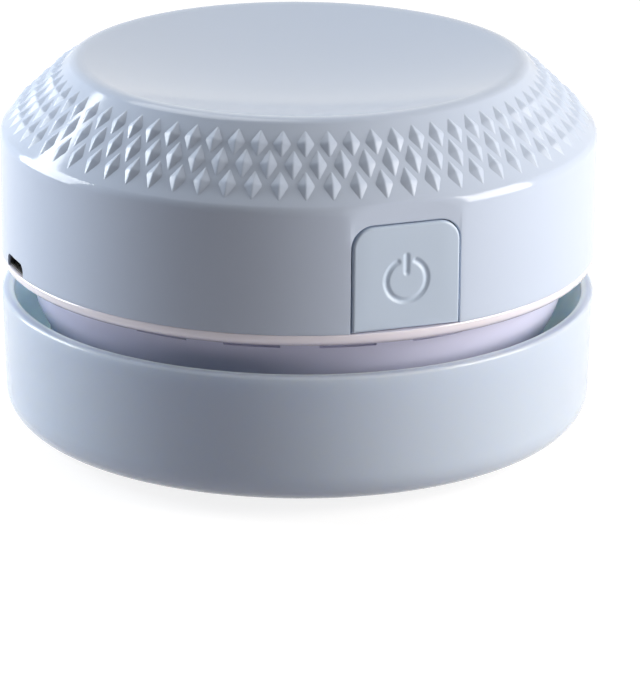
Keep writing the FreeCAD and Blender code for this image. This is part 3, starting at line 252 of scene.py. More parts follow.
def turn_on_lathe(bm, steps=TURN_STEPS):
    """Spins the outline in bm once round Z and closes its seam and poles."""
    bmesh.ops.remove_doubles(bm, verts=bm.verts, dist=0.0005)
    bmesh.ops.spin(bm, geom=bm.verts[:] + bm.edges[:], cent=(0, 0, 0), axis=UP, dvec=(0, 0, 0),
                   angle=math.tau, steps=steps, use_merge=True, use_duplicate=False)
    bmesh.ops.remove_doubles(bm, verts=bm.verts, dist=0.002)
    bmesh.ops.dissolve_degenerate(bm, edges=bm.edges, dist=0.0005)
    bmesh.ops.recalc_face_normals(bm, faces=bm.faces)


def round_bar(radius, z_low, z_high, x):
    """Upright closed cylinder."""
    bm = bmesh.new()
    bmesh.ops.create_cone(bm, cap_ends=True, segments=48, radius1=radius, radius2=radius,
                          depth=z_high - z_low,
                          matrix=Matrix.Translation((x, 0, (z_low + z_high) / 2)))
    return bm


def brick(x_low, x_high, y_low, y_high, z_low, z_high):
    """Closed block between two corners."""
    bm = bmesh.new()
    bmesh.ops.create_cube(bm, size=1)
    bmesh.ops.scale(bm, vec=(x_high - x_low, y_high - y_low, z_high - z_low), verts=bm.verts)
    bmesh.ops.translate(bm, vec=((x_low + x_high) / 2, (y_low + y_high) / 2, (z_low + z_high) / 2),
                        verts=bm.verts)
    return bm


def prism(corners, depth, front=0.0):
    """A closed outline of (x, z, rounding, segments) corners, drawn out along +Y from its front."""
    bm = bmesh.new()
    rounded_chain(bm, corners)
    bmesh.ops.remove_doubles(bm, verts=bm.verts, dist=0.0005)
    face = bmesh.ops.contextual_create(bm, geom=bm.edges[:])["faces"]
    far = bmesh.ops.extrude_face_region(bm, geom=face)["geom"]
    far_verts = [item for item in far if isinstance(item, bmesh.types.BMVert)]
    bmesh.ops.translate(bm, vec=(0, depth, 0), verts=far_verts)
    bmesh.ops.recalc_face_normals(bm, faces=bm.faces)
    bmesh.ops.translate(bm, vec=(0, front, 0), verts=bm.verts)
    return bm


def carve(bm, cutters):
    """The form less each cutter; the objects that this takes are removed again."""
    form = in_scene("blank", as_mesh(bm, "blank"))
    tools = [in_scene("cutter", as_mesh(cutter, "cutter")) for cutter in cutters]
    for tool in tools:
        cut = form.modifiers.new("cut", "BOOLEAN")
        cut.operation = "DIFFERENCE"
        cut.solver = "EXACT"
        cut.object = tool
    carved = bmesh.new()
    carved.from_object(form, bpy.context.evaluated_depsgraph_get())
    for thing in [form] + tools:
        mesh = thing.data
        bpy.data.objects.remove(thing)
        bpy.data.meshes.remove(mesh)
    return carved


def close_piece(bm, name, body, finish, crease=30.0, turned_with_head=False):
    """Scales the form to metres, smooths it up to a crease angle and lets it ride on its body."""
    if turned_with_head:
        turn_about_z(bm, HEAD_TURN)
    bmesh.ops.scale(bm, vec=(MM, MM, MM), verts=bm.verts)
    mesh = as_mesh(bm, name)
    mesh.shade_smooth()
    mesh.set_sharp_from_angle(angle=math.radians(crease))
    mesh.materials.append(finish)
    piece = in_scene(name, mesh)
    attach(piece, body)
    return piece


def smooth_less(value, limit, softness):
    """The smaller of a value and a limit, eased where they meet."""
    blend = max(softness - abs(value - limit), 0.0) / softness
    return min(value, limit) - blend * blend * softness / 4


# ---------------------------------------------------------------- upper casing

def dish_sphere():
    """Radius of the sphere that the dish is part of."""
    return (DISH_RADIUS ** 2 + DISH_DEPTH ** 2) / (2 * DISH_DEPTH)


def on_cone(run):
    """Radius and height of the cone at a distance down its slope."""
    return (CONE_TOP_RADIUS + run * CONE_OUT, TOP_Z - run * CONE_DOWN)


def casing_blank():
    """Thick-walled upper casing: dished top, rim, cone, shoulder and straight wall."""
    bm = bmesh.new()
    arc_end = (DISH_RADIUS - DISH_ARC_SHORT, TOP_Z - DISH_ARC_DROP)
    inner_arc_end = (DISH_RADIUS + INNER_DISH_GROWTH, TOP_Z - HEAD_WALL)
    inner = BODY_RADIUS - HEAD_WALL
    rounded_chain(bm, [
        arc_end,
        (DISH_RADIUS, TOP_Z, DISH_EDGE_ROUNDING, 7),
        (CONE_TOP_RADIUS, TOP_Z, RIM_ROUNDING, 12),
        *[on_cone(run) for run in CONE_STATIONS],
        (BODY_RADIUS, SHOULDER_Z, SHOULDER_ROUNDING, 14),
        (BODY_RADIUS, SHOULDER_Z - SHOULDER_MARGIN),
        (BODY_RADIUS, PLATE_TOP_Z + FOOT_MARGIN),
        (BODY_RADIUS, PLATE_TOP_Z, FOOT_ROUNDING, 3),
        (inner, PLATE_TOP_Z),
        (inner, SHOULDER_Z - INNER_SHOULDER_DROP),
        inner_arc_end])
    dished_arc(bm, *arc_end, dish_sphere(), 26)
    dished_arc(bm, *inner_arc_end, dish_sphere() + HEAD_WALL, 12)
    turn_on_lathe(bm)
    return bm


def press_landing(bm):
    """Sinks the flat round the power key into the wall and shoulder, with eased edges."""
    for vert in bm.verts:
        out = -vert.co.y
        if out > LANDING - LANDING_REACH:
            above = clamped((vert.co.z - SHOULDER_Z + EASE_START) / EASE_HEIGHT)
            vert.co.y = -smooth_less(out, LANDING, LANDING_EASE + SHOULDER_EASE * above)


def slot_cutter():
    """Upright slot with rounded top corners, whose mouth flares into a fine quarter round."""
    levels = [(LANDING - SLOT_DEPTH, 0.0)]
    levels += [(LANDING - SLOT_FLARE * (1 - math.sin(turn)), SLOT_FLARE * (1 - math.cos(turn)))
               for turn in SLOT_FLARE_TURNS]
    levels += [(BODY_RADIUS + CUTTER_OVERRUN, SLOT_MOUTH_GROWTH)]
    bm = bmesh.new()
    rings = []
    for out, grow in levels:
        ring = bmesh.new()
        rounded_chain(ring, arch(SLOT_HALF + grow, PLATE_TOP_Z - SLOT_OVERRUN, SLOT_TOP_Z + grow,
                                 SLOT_CORNER + grow, 12))
        bmesh.ops.remove_doubles(ring, verts=ring.verts, dist=0.0005)
        bmesh.ops.translate(ring, vec=(0, -out, 0), verts=ring.verts)
        outline = as_mesh(ring, "outline")
        before = len(bm.edges)
        bm.from_mesh(outline)
        bpy.data.meshes.remove(outline)
        bm.edges.ensure_lookup_table()
        rings.append(bm.edges[before:])
    for inner, outer in zip(rings, rings[1:]):
        bmesh.ops.bridge_loops(bm, edges=inner + outer)
    for end in (rings[0], rings[-1]):
        bmesh.ops.contextual_create(bm, geom=end)
    bmesh.ops.recalc_face_normals(bm, faces=bm.faces)
    return bm


def port_cutter():
    """Opening of the charging socket at the foot of the wall."""
    bm = prism(arch(PORT_HALF, PLATE_TOP_Z - CUTTER_OVERRUN, PORT_TOP_Z, PORT_CORNER, 6),
               PORT_OVERRUN + PORT_DEPTH, front=-BODY_RADIUS - PORT_OVERRUN)
    turn_about_z(bm, PORT_TURN)
    return bm


def port_liner(finish):
    """Dark liner of the charging opening, in front of the socket's shell."""
    half = PORT_HALF - LINER_GAP
    low = PLATE_TOP_Z + LINER_FOOT_GAP
    high = PORT_TOP_Z - LINER_GAP
    bm = prism(arch(half, low, high, LINER_CORNER, 6, (LINER_FOOT_ROUNDING, 3)),
               LINER_DEPTH, front=-LINER_FACE)
    hole = prism(arch(half - LINER_WALL, low + LINER_FOOT_WALL, high - LINER_TOP_WALL,
                      LINER_HOLE_CORNER, 6, (LINER_HOLE_FOOT_ROUNDING, 3)),
                 LINER_DEPTH + 2 * CUTTER_OVERRUN, front=-LINER_FACE - CUTTER_OVERRUN)
    bm = carve(bm, [hole])
    turn_about_z(bm, PORT_TURN)
    piece = close_piece(bm, "port_liner", "head", finish, crease=40, turned_with_head=True)
    return piece


def upper_casing(finish):
    """Upper casing with the landing, slot and guide of the key and the charging opening."""
    bm = casing_blank()
    press_landing(bm)
    guide = brick(-GUIDE_HALF, GUIDE_HALF, -GUIDE_FRONT, -GUIDE_BACK,
                  PLATE_TOP_Z - CUTTER_OVERRUN, GUIDE_TOP_Z)
    bm = carve(bm, [slot_cutter(), guide, port_cutter()])
    piece = close_piece(bm, "upper_casing", "head", finish, crease=25, turned_with_head=True)
    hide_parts("top_shell")
    return piece


def stud_pattern():
    """One diamond stud lying on its back: long in X, wide in Y, its ridges broken by a fine bevel."""
    bm = bmesh.new()
    bmesh.ops.create_cone(bm, cap_ends=True, segments=4, radius1=1, radius2=0, depth=1)
    bmesh.ops.translate(bm, vec=(0, 0, 0.5), verts=bm.verts)
    tip = [vert for vert in bm.verts if vert.co.z > 0.5]
    ridges = tip[0].link_edges[:]
    bmesh.ops.bevel(bm, geom=tip + ridges, offset=STUD_RIDGE, offset_type="OFFSET", segments=3,
                    profile=0.5, affect="EDGES", material=-1)
    return as_mesh(bm, "stud")


def cone_studs(finish):
    """Three rows of studs round the cone, every other row shifted by half a step."""
    pattern = stud_pattern()
    bm = bmesh.new()
    step = math.tau / STUD_COUNT
    for row, (run, half_height) in enumerate(STUD_ROWS):
        radius, height = on_cone(run)
        size = Matrix.Diagonal((half_height, STUD_HALF_WIDTH, STUD_HEIGHT, 1))
        for i in range(STUD_COUNT):
            angle = STUD_FIRST + (i + row % 2 / 2) * step
            radial = Vector((math.cos(angle), math.sin(angle), 0))
            down = radial * CONE_OUT - UP * CONE_DOWN
            out = UP * CONE_OUT + radial * CONE_DOWN
            place = Matrix((down, out.cross(down), out)).transposed().to_4x4()
            place.translation = radial * radius + UP * height - out * STUD_SINK
            stamp(bm, pattern, place @ size)
    bpy.data.meshes.remove(pattern)
    bmesh.ops.recalc_face_normals(bm, faces=bm.faces)
    piece = close_piece(bm, "cone_studs", "head", finish, crease=35, turned_with_head=True)
    return piece


# ---------------------------------------------------------------- power key

def stroke_distance(x, z):
    """How far a point is from the middle of the power sign's strokes."""
    angle = abs(math.atan2(x, z))
    if angle > SIGN_GAP:
        ring = abs(math.hypot(x, z) - SIGN_RADIUS)
    else:
        end_x = math.copysign(SIGN_RADIUS * math.sin(SIGN_GAP), x)
        ring = math.hypot(x - end_x, z - SIGN_RADIUS * math.cos(SIGN_GAP))
    bar = math.hypot(x, z - min(max(z, SIGN_BAR[0]), SIGN_BAR[1]))
    return min(ring, bar)


def at_key_face(item):
    """Whether an edge or face lies in the key's front."""
    return all(abs(vert.co.y + KEY_FACE) < 0.001 for vert in item.verts)


def power_key(finish):
    """Key with rounded edges and the power sign sunk into its face as soft grooves."""
    bm = prism(arch(SLOT_HALF - KEY_GAP, PLATE_TOP_Z + KEY_GAP, SLOT_TOP_Z - KEY_GAP,
                    SLOT_CORNER - KEY_GAP, 14), KEY_THICKNESS, front=-KEY_FACE)
    rim = [edge for edge in bm.edges if at_key_face(edge)]
    bmesh.ops.bevel(bm, geom=rim, offset=KEY_EDGE, offset_type="OFFSET", segments=6, profile=0.5,
                    affect="EDGES", material=-1, clamp_overlap=False)
    front = [face for face in bm.faces if at_key_face(face)]
    bmesh.ops.delete(bm, geom=front, context="FACES_ONLY")
    net = bmesh.ops.create_grid(bm, x_segments=SIGN_CELLS, y_segments=SIGN_CELLS, size=SIGN_FIELD,
                                matrix=Matrix.Translation((0, -KEY_FACE, SIGN_Z))
                                @ Matrix.Rotation(math.radians(90), 4, "X"))["verts"]
    for vert in net:
        depth = clamped(1.0 - stroke_distance(vert.co.x, vert.co.z - SIGN_Z) / GROOVE_HALF)
        vert.co.y += GROOVE_DEPTH * depth * depth * (3 - 2 * depth)
    borders = [edge for edge in bm.edges if edge.is_boundary]
    bmesh.ops.triangle_fill(bm, use_beauty=True, edges=borders)
    bmesh.ops.recalc_face_normals(bm, faces=bm.faces)
    piece = close_piece(bm, "power_key", "button", finish, crease=40, turned_with_head=True)
    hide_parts("power_button")
    return piece


# ---------------------------------------------------------------- lower casing

def wall_radius(z):
    """Outer radius of the lower casing's wall, which widens a little from foot to lip."""
    return BASE_RADIUS + (BODY_RADIUS - BASE_RADIUS) * (z - BASE_Z) / (CASING_TOP_Z - BASE_Z)


def lower_casing(finish):
    """Cup-shaped lower casing with a soft rim, a rounded foot and the pocket of the brush plate."""
    bm = bmesh.new()
    inner_lip_z = CASING_TOP_Z - INNER_LIP_MARGIN
    outer_lip_z = CASING_TOP_Z - OUTER_LIP_MARGIN
    base_edge_z = BASE_Z + BASE_EDGE_MARGIN
    rounded_chain(bm, [
        (0, POCKET_TOP_Z + POCKET_WALL),
        (POCKET_RADIUS + POCKET_WALL, POCKET_TOP_Z + POCKET_WALL),
        (POCKET_RADIUS + POCKET_WALL, CASING_FLOOR_Z),
        (BASE_RADIUS - CASING_WALL, CASING_FLOOR_Z, CASING_FLOOR_ROUNDING, 8),
        (wall_radius(inner_lip_z) - CASING_WALL, inner_lip_z),
        (BODY_RADIUS - CASING_WALL, CASING_TOP_Z, CASING_INNER_LIP, 5),
        (BODY_RADIUS, CASING_TOP_Z, CASING_OUTER_LIP, 6),
        (wall_radius(outer_lip_z), outer_lip_z),
        (wall_radius(base_edge_z), base_edge_z),
        (BASE_RADIUS, BASE_Z, BASE_EDGE, 18),
        (POCKET_RADIUS, BASE_Z, POCKET_EDGE, 3),
        (POCKET_RADIUS, POCKET_TOP_Z),
        (0, POCKET_TOP_Z)])
    turn_on_lathe(bm)
    rounded = (INLET_CORNER, 8)
    inlet = prism([(0, -INLET_HALF_WIDTH),
                   (INLET_HALF_LENGTH, -INLET_HALF_WIDTH, *rounded),
                   (INLET_HALF_LENGTH, INLET_HALF_WIDTH, *rounded),
                   (-INLET_HALF_LENGTH, INLET_HALF_WIDTH, *rounded),
                   (-INLET_HALF_LENGTH, -INLET_HALF_WIDTH, *rounded),
                   (0, -INLET_HALF_WIDTH)], CASING_TOP_Z / 2)
    bmesh.ops.rotate(inlet, cent=(0, 0, 0), matrix=Matrix.Rotation(math.radians(90), 3, "X"),
                     verts=inlet.verts)
    screw_holes = [round_bar(SCREW_HOLE, -CUTTER_OVERRUN, CASING_TOP_Z / 2, side * SCREW_OFFSET)
                   for side in (-1, 1)]
    bm = carve(bm, [inlet] + screw_holes)
    piece = close_piece(bm, "lower_casing", "dust_bin", finish, crease=30)
    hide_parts("lower_shell")
    return piece


# ---------------------------------------------------------------- fan bowl

def outlet_screen(finish):
    """Thin cloth screen inside the fan bowl, behind its air outlets."""
    bm = bmesh.new()
    inner = SCREEN_RADIUS - SCREEN_THICKNESS
    rounded_chain(bm, [(SCREEN_RADIUS, SCREEN_LOW_Z), (SCREEN_RADIUS, SCREEN_HIGH_Z),
                       (inner, SCREEN_HIGH_Z), (inner, SCREEN_LOW_Z), (SCREEN_RADIUS, SCREEN_LOW_Z)])
    turn_on_lathe(bm, SCREEN_STEPS)
    piece = close_piece(bm, "outlet_screen", "head", finish)
    return piece


# ---------------------------------------------------------------- bristles

def hair_pattern():
    """One tapered hair that hangs from its root."""
    bm = bmesh.new()
    bmesh.ops.create_cone(bm, cap_ends=True, segments=5, radius1=HAIR_TIP, radius2=HAIR_ROOT,
                          depth=HAIR_LENGTH)
    bmesh.ops.translate(bm, vec=(0, 0, -HAIR_LENGTH / 2), verts=bm.verts)
    return as_mesh(bm, "hair")


def bristles(finish):
    """Tufts of tapered hairs along both sides of the inlet, splayed a little towards the table."""
    pattern = hair_pattern()
    bm = bmesh.new()
    golden = math.pi * (3 - math.sqrt(5))
    for side in (-1, 1):
        for i in range(TUFT_COUNT):
            root = Vector(((i - (TUFT_COUNT - 1) / 2) * TUFT_PITCH, side * TUFT_ROW, TUFT_ROOT_Z))
            for j in range(HAIRS_PER_TUFT):
                away = TUFT_RADIUS * math.sqrt((j + 0.5) / HAIRS_PER_TUFT)
                turn = j * golden + i * 1.3
                lean = Matrix.Rotation(HAIR_LEAN * away, 4,
                                       Vector((-math.sin(turn), math.cos(turn), 0)))
                shift = Matrix.Translation(root + away * Vector((math.cos(turn), math.sin(turn), 0)))
                stamp(bm, pattern, shift @ lean)
    bpy.data.meshes.remove(pattern)
    bmesh.ops.recalc_face_normals(bm, faces=bm.faces)
    piece = close_piece(bm, "bristles", "dust_bin", finish, crease=60)
    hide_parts("brush_tufts")
    return piece


# ---------------------------------------------------------------- finishes

PALE_BLUE = (0.55, 0.635, 0.785)
BAND_PINK = (0.84, 0.80, 0.91)
KEY_BLUE = (0.54, 0.645, 0.79)
BOWL_LAVENDER = (0.61, 0.62, 0.79)
# Lighter, deeper blue for the lower casing's inner wall: a painted glow standing in for light through the
# thin wall and bouncing in the gap
INNER_GLOW_BLUE = (0.77, 0.925, 0.99)
INNER_GLOW_RADIUS = 0.0418         # metres, as a finish reads them
INNER_GLOW_BLEND = 0.0003
INNER_GLOW_FOOT = 0.0076
INNER_GLOW_TOP = 0.0082
COAT_IOR = 1.8
COAT_ROUGHNESS = 0.14
GLOSS_DRIFT = 0.012


def blank_finish(name):
    """A new material with its shader and the object coordinates that its patterns follow."""
    finish = bpy.data.materials.new(name)
    finish.use_nodes = True
    nodes = finish.node_tree.nodes
    shader = nodes["Principled BSDF"]
    place = nodes.new("ShaderNodeTexCoord")
    return finish, finish.node_tree, shader, place.outputs["Object"]


def grain(tree, place, scale, detail=2.0, roughness=0.5, stretch=(1, 1, 1)):
    """Noise on the object's own coordinates, its scale in cells per metre."""
    mapping = tree.nodes.new("ShaderNodeMapping")
    mapping.inputs["Scale"].default_value = stretch
    tree.links.new(place, mapping.inputs["Vector"])
    noise = tree.nodes.new("ShaderNodeTexNoise")
    noise.inputs["Scale"].default_value = scale
    noise.inputs["Detail"].default_value = detail
    noise.inputs["Roughness"].default_value = roughness
    tree.links.new(mapping.outputs["Vector"], noise.inputs["Vector"])
    return noise.outputs["Fac"]


def ramp(tree, value, stops):
    """Colour ramp over a value, from (position, colour) stops."""
    node = tree.nodes.new("ShaderNodeValToRGB")
    elements = node.color_ramp.elements
    while len(elements) < len(stops):
        elements.new(1.0)
    for element, (position, colour) in zip(elements, stops):
        element.position = position
        element.color = (*colour, 1)
    tree.links.new(value, node.inputs["Fac"])
    return node.outputs["Color"]


def stretched(tree, value, source, target):
    """A value taken from one range to another."""
    node = tree.nodes.new("ShaderNodeMapRange")
    node.inputs["From Min"].default_value = source[0]
    node.inputs["From Max"].default_value = source[1]
    node.inputs["To Min"].default_value = target[0]
    node.inputs["To Max"].default_value = target[1]
    tree.links.new(value, node.inputs["Value"])
    return node.outputs["Result"]


def spread(tree, noise, low, high):
    """The middle of a noise stretched to a range."""
    return stretched(tree, noise, (0.3, 0.7), (low, high))


def larger(tree, first, second):
    """The larger of two values."""
    node = tree.nodes.new("ShaderNodeMath")
    node.operation = "MAXIMUM"
    tree.links.new(first, node.inputs[0])
    tree.links.new(second, node.inputs[1])
    return node.outputs["Value"]


def relief(tree, shader, height, depth):
    """Bumps of a given depth in metres."""
    node = tree.nodes.new("ShaderNodeBump")
    node.inputs["Strength"].default_value = 1.0
    node.inputs["Distance"].default_value = depth
    tree.links.new(height, node.inputs["Height"])
    tree.links.new(node.outputs["Normal"], shader.inputs["Normal"])


def tinted(colour, factor):
    """A lighter or darker tone of a colour."""
    return tuple(min(channel * factor, 1.0) for channel in colour)


def with_painted_inner_glow(tree, place, inner, outer):
    """Painted glow: one lighter, deeper blue on the inner wall of the lower casing, above its foot,
    standing in for light through the thin wall and bouncing between the walls; another colour elsewhere.
    """
    flat = tree.nodes.new("ShaderNodeVectorMath")
    flat.operation = "MULTIPLY"
    flat.inputs[1].default_value = (1, 1, 0)
    tree.links.new(place, flat.inputs[0])
    length = tree.nodes.new("ShaderNodeVectorMath")
    length.operation = "LENGTH"
    tree.links.new(flat.outputs["Vector"], length.inputs[0])
    height = tree.nodes.new("ShaderNodeSeparateXYZ")
    tree.links.new(place, height.inputs["Vector"])
    outside_wall = stretched(tree, length.outputs["Value"],
                             (INNER_GLOW_RADIUS - INNER_GLOW_BLEND, INNER_GLOW_RADIUS + INNER_GLOW_BLEND),
                             (0, 1))
    below = stretched(tree, height.outputs["Z"], (INNER_GLOW_TOP, INNER_GLOW_FOOT), (0, 1))
    mix = tree.nodes.new("ShaderNodeMix")
    mix.data_type = "RGBA"
    inside, elsewhere = [socket for socket in mix.inputs if socket.type == "RGBA"]
    inside.default_value = (*inner, 1)
    tree.links.new(larger(tree, outside_wall, below), mix.inputs[0])
    tree.links.new(outer, elsewhere)
    return [socket for socket in mix.outputs if socket.type == "RGBA"][0]


def moulded_plastic(name, colour, gloss=0.3, sink=0.06, coat=0.0, drift=0.014, inner=None, reach=0.0012):
    """Injection-moulded plastic: a soft drift of tone, an even gloss and a very fine orange peel."""
    finish, tree, shader, place = blank_finish(name)
    flow = grain(tree, place, 24.0, 1.0, 0.35, (1, 1, 0.5))
    tone = ramp(tree, flow, [(0.2, tinted(colour, 1 - drift)), (0.8, tinted(colour, 1 + drift))])
    # An inner colour paints that glow of light onto the lower casing's inner wall
    if inner:
        tone = with_painted_inner_glow(tree, place, inner, tone)
    tree.links.new(tone, shader.inputs["Base Color"])
    smear = grain(tree, place, 70.0, 1.0, 0.4, (1, 1, 0.6))
    tree.links.new(spread(tree, smear, gloss - GLOSS_DRIFT, gloss + GLOSS_DRIFT),
                   shader.inputs["Roughness"])
    relief(tree, shader, grain(tree, place, 1100.0, 2.0, 0.45), 1.4 * MICRON)
    shader.inputs["IOR"].default_value = 1.5
    shader.inputs["Specular IOR Level"].default_value = 0.36
    shader.inputs["Subsurface Weight"].default_value = sink
    shader.inputs["Subsurface Radius"].default_value = (0.9, 1.0, 1.2)
    shader.inputs["Subsurface Scale"].default_value = reach
    shader.inputs["Coat Weight"].default_value = coat
    shader.inputs["Coat Roughness"].default_value = COAT_ROUGHNESS
    shader.inputs["Coat IOR"].default_value = COAT_IOR
    return finish


def soft_rubber(name, colour):
    """Matt rubber with a fine sandy skin."""
    finish, tree, shader, place = blank_finish(name)
    dust = grain(tree, place, 700.0, 4.0, 0.6)
    tree.links.new(ramp(tree, dust, [(0.35, tinted(colour, 0.85)), (0.7, tinted(colour, 1.2))]),
                   shader.inputs["Base Color"])
    tree.links.new(spread(tree, dust, 0.68, 0.82), shader.inputs["Roughness"])
    relief(tree, shader, grain(tree, place, 4200.0, 3.0, 0.6), 10 * MICRON)
    return finish


def drawn_metal(name, colour, gloss=0.28, stretch=(1, 1, 12)):
    """Metal with fine drawing marks and a slightly uneven tone."""
    finish, tree, shader, place = blank_finish(name)
    marks = grain(tree, place, 900.0, 3.0, 0.6, stretch)
    tone = grain(tree, place, 120.0, 2.0, 0.5)
    tree.links.new(ramp(tree, tone, [(0.3, tinted(colour, 0.86)), (0.7, tinted(colour, 1.08))]),
                   shader.inputs["Base Color"])
    tree.links.new(spread(tree, marks, gloss - 0.06, gloss + 0.1), shader.inputs["Roughness"])
    relief(tree, shader, marks, 4 * MICRON)
    shader.inputs["Metallic"].default_value = 1.0
    return finish


def sintered(name, colour, metallic):
    """Pressed powder: speckled and dull."""
    finish, tree, shader, place = blank_finish(name)
    speck = grain(tree, place, 5200.0, 2.0, 0.7)
    tree.links.new(ramp(tree, speck, [(0.38, tinted(colour, 0.7)), (0.62, tinted(colour, 1.15))]),
                   shader.inputs["Base Color"])
    tree.links.new(spread(tree, speck, 0.45, 0.62), shader.inputs["Roughness"])
    relief(tree, shader, speck, 12 * MICRON)
    shader.inputs["Metallic"].default_value = metallic
    return finish


def felted_cloth(name, colour):
    """Non-woven filter cloth: matted fibres with a pressed dot pattern."""
    finish, tree, shader, place = blank_finish(name)
    fibre = grain(tree, place, 1500.0, 6.0, 0.75, (1, 0.35, 1))
    cross = grain(tree, place, 1500.0, 6.0, 0.75, (0.35, 1, 1))
    mat = larger(tree, fibre, cross)
    dots = tree.nodes.new("ShaderNodeTexVoronoi")
    dots.inputs["Scale"].default_value = 620.0
    dots.inputs["Randomness"].default_value = 0.12
    tree.links.new(place, dots.inputs["Vector"])
    height = tree.nodes.new("ShaderNodeMath")
    height.operation = "MULTIPLY_ADD"
    height.inputs[1].default_value = 0.7
    tree.links.new(dots.outputs["Distance"], height.inputs[0])
    tree.links.new(mat, height.inputs[2])
    tone = ramp(tree, height.outputs["Value"], [(0.35, tinted(colour, 0.72)), (0.9, tinted(colour, 1.05))])
    tree.links.new(tone, shader.inputs["Base Color"])
    tree.links.new(spread(tree, mat, 0.85, 0.95), shader.inputs["Roughness"])
    relief(tree, shader, height.outputs["Value"], 160 * MICRON)
    shader.inputs["Sheen Weight"].default_value = 0.3
    return finish


def solder_mask(name, colour):
    """Glossy lacquer of a circuit board over faint copper tracks."""
    finish, tree, shader, place = blank_finish(name)
    tracks = tree.nodes.new("ShaderNodeTexBrick")
    tracks.inputs["Scale"].default_value = 420.0
    tracks.inputs["Mortar Size"].default_value = 0.035
    tracks.inputs["Color1"].default_value = (*colour, 1)
    tracks.inputs["Color2"].default_value = (*tinted(colour, 0.86), 1)
    tracks.inputs["Mortar"].default_value = (*tinted(colour, 1.9), 1)
    tree.links.new(place, tracks.inputs["Vector"])
    tree.links.new(tracks.outputs["Color"], shader.inputs["Base Color"])
    tree.links.new(spread(tree, grain(tree, place, 260.0), 0.2, 0.3), shader.inputs["Roughness"])
    relief(tree, shader, tracks.outputs["Fac"], 10 * MICRON)
    shader.inputs["Coat Weight"].default_value = 0.4
    shader.inputs["Coat Roughness"].default_value = 0.1
    return finish


def laminated_steel(name, colour):
    """Edges of stacked sheets, as fine rings along Z."""
    finish, tree, shader, place = blank_finish(name)
    sheets = tree.nodes.new("ShaderNodeTexWave")
    sheets.wave_type = "BANDS"
    sheets.bands_direction = "Z"
    sheets.inputs["Scale"].default_value = 620.0
    sheets.inputs["Distortion"].default_value = 0.4
    tree.links.new(place, sheets.inputs["Vector"])
    tree.links.new(ramp(tree, sheets.outputs["Fac"], [(0.1, tinted(colour, 0.55)), (0.5, colour)]),
                   shader.inputs["Base Color"])
    tree.links.new(spread(tree, sheets.outputs["Fac"], 0.34, 0.5), shader.inputs["Roughness"])
    relief(tree, shader, sheets.outputs["Fac"], 20 * MICRON)
    shader.inputs["Metallic"].default_value = 0.9
    return finish


def finishes():
    """Every finish of the cleaner; all but those of the scene's own pieces have the record's names."""
    return {
        # Lower casing: its inner wall carries a painted glow in a lighter, deeper blue
        "casing": moulded_plastic("casing_pale_blue", PALE_BLUE, gloss=0.11, sink=0.85,
                                  inner=INNER_GLOW_BLUE, reach=0.0035),
        "casing_top": moulded_plastic("casing_top_pale_blue", PALE_BLUE, gloss=0.11),
        "casing_studs": moulded_plastic("stud_pale_blue", PALE_BLUE, gloss=0.27),
        "casing_band": moulded_plastic("band_rose_grey", BAND_PINK, gloss=0.16, sink=0.3, coat=1.0),
        "casing_button": moulded_plastic("key_blue_grey", KEY_BLUE, gloss=0.33),
        "casing_inner": moulded_plastic("inner_lavender", BOWL_LAVENDER, gloss=0.18),
        "fan_plastic": moulded_plastic("fan_white", (0.78, 0.79, 0.8), gloss=0.35),
        "black_plastic": moulded_plastic("black_housing", (0.02, 0.02, 0.022), gloss=0.4, sink=0.0,
                                         drift=0.3),
        "plunger_plastic": moulded_plastic("plunger_white", (0.7, 0.7, 0.68), gloss=0.4),
        "cell_wrap": moulded_plastic("cell_sleeve", (0.03, 0.16, 0.42), gloss=0.25, sink=0.0),
        "lead_red": moulded_plastic("lead_red", (0.5, 0.02, 0.015), gloss=0.4, sink=0.0),
        "lead_black": moulded_plastic("lead_black", (0.018, 0.018, 0.02), gloss=0.4, sink=0.0,
                                      drift=0.3),
        "bristle": moulded_plastic("bristle_nylon", (0.62, 0.64, 0.66), gloss=0.4),
        "rubber_dark": soft_rubber("foot_rubber", (0.06, 0.062, 0.068)),
        "rubber_pale": soft_rubber("seal_rubber", (0.5, 0.5, 0.5)),
        "filter_cloth": felted_cloth("filter_cloth", (0.82, 0.83, 0.82)),
        "screen_cloth": felted_cloth("screen_cloth", (0.74, 0.74, 0.88)),
        "screw_steel": drawn_metal("screw_zinc", (0.62, 0.62, 0.6), gloss=0.3),
        "motor_steel": drawn_metal("motor_zinc", (0.66, 0.66, 0.64), gloss=0.26),
        "socket_steel": drawn_metal("socket_tin", (0.55, 0.54, 0.52), gloss=0.25, stretch=(12, 1, 1)),
        "shaft_steel": drawn_metal("shaft_steel", (0.6, 0.6, 0.6), gloss=0.16),
        "nickel": drawn_metal("nickel_strip", (0.66, 0.63, 0.58), gloss=0.3, stretch=(1, 10, 1)),
        "brass": drawn_metal("brass_tab", (0.75, 0.55, 0.26), gloss=0.32),
        "bronze": sintered("bearing_bronze", (0.42, 0.27, 0.13), metallic=0.9),
        "ferrite": sintered("magnet_ferrite", (0.05, 0.05, 0.055), metallic=0.1),
        "lamination": laminated_steel("armature_sheets", (0.45, 0.44, 0.42)),
        "board": solder_mask("board_green", (0.012, 0.12, 0.05)),
    }


def dress_solids(made):
    """Gives each CAD node its finish, joined facets and clean creases."""
    slots = {part["node"]: part.get("material_slot") for part in frame["record"]["subparts"]}
    for name, solid in frame["nodes"].items():
        solid.data.materials.clear()
        solid.data.materials.append(made[slots[name]])
        solid.data.shade_smooth()
        weld = solid.modifiers.new("joined", "WELD")
        weld.merge_threshold = 2 * MICRON
        crease = solid.modifiers.new("creases", "EDGE_SPLIT")
        crease.split_angle = math.radians(32)
        crease.use_edge_sharp = False


# ---------------------------------------------------------------- floor, light and camera

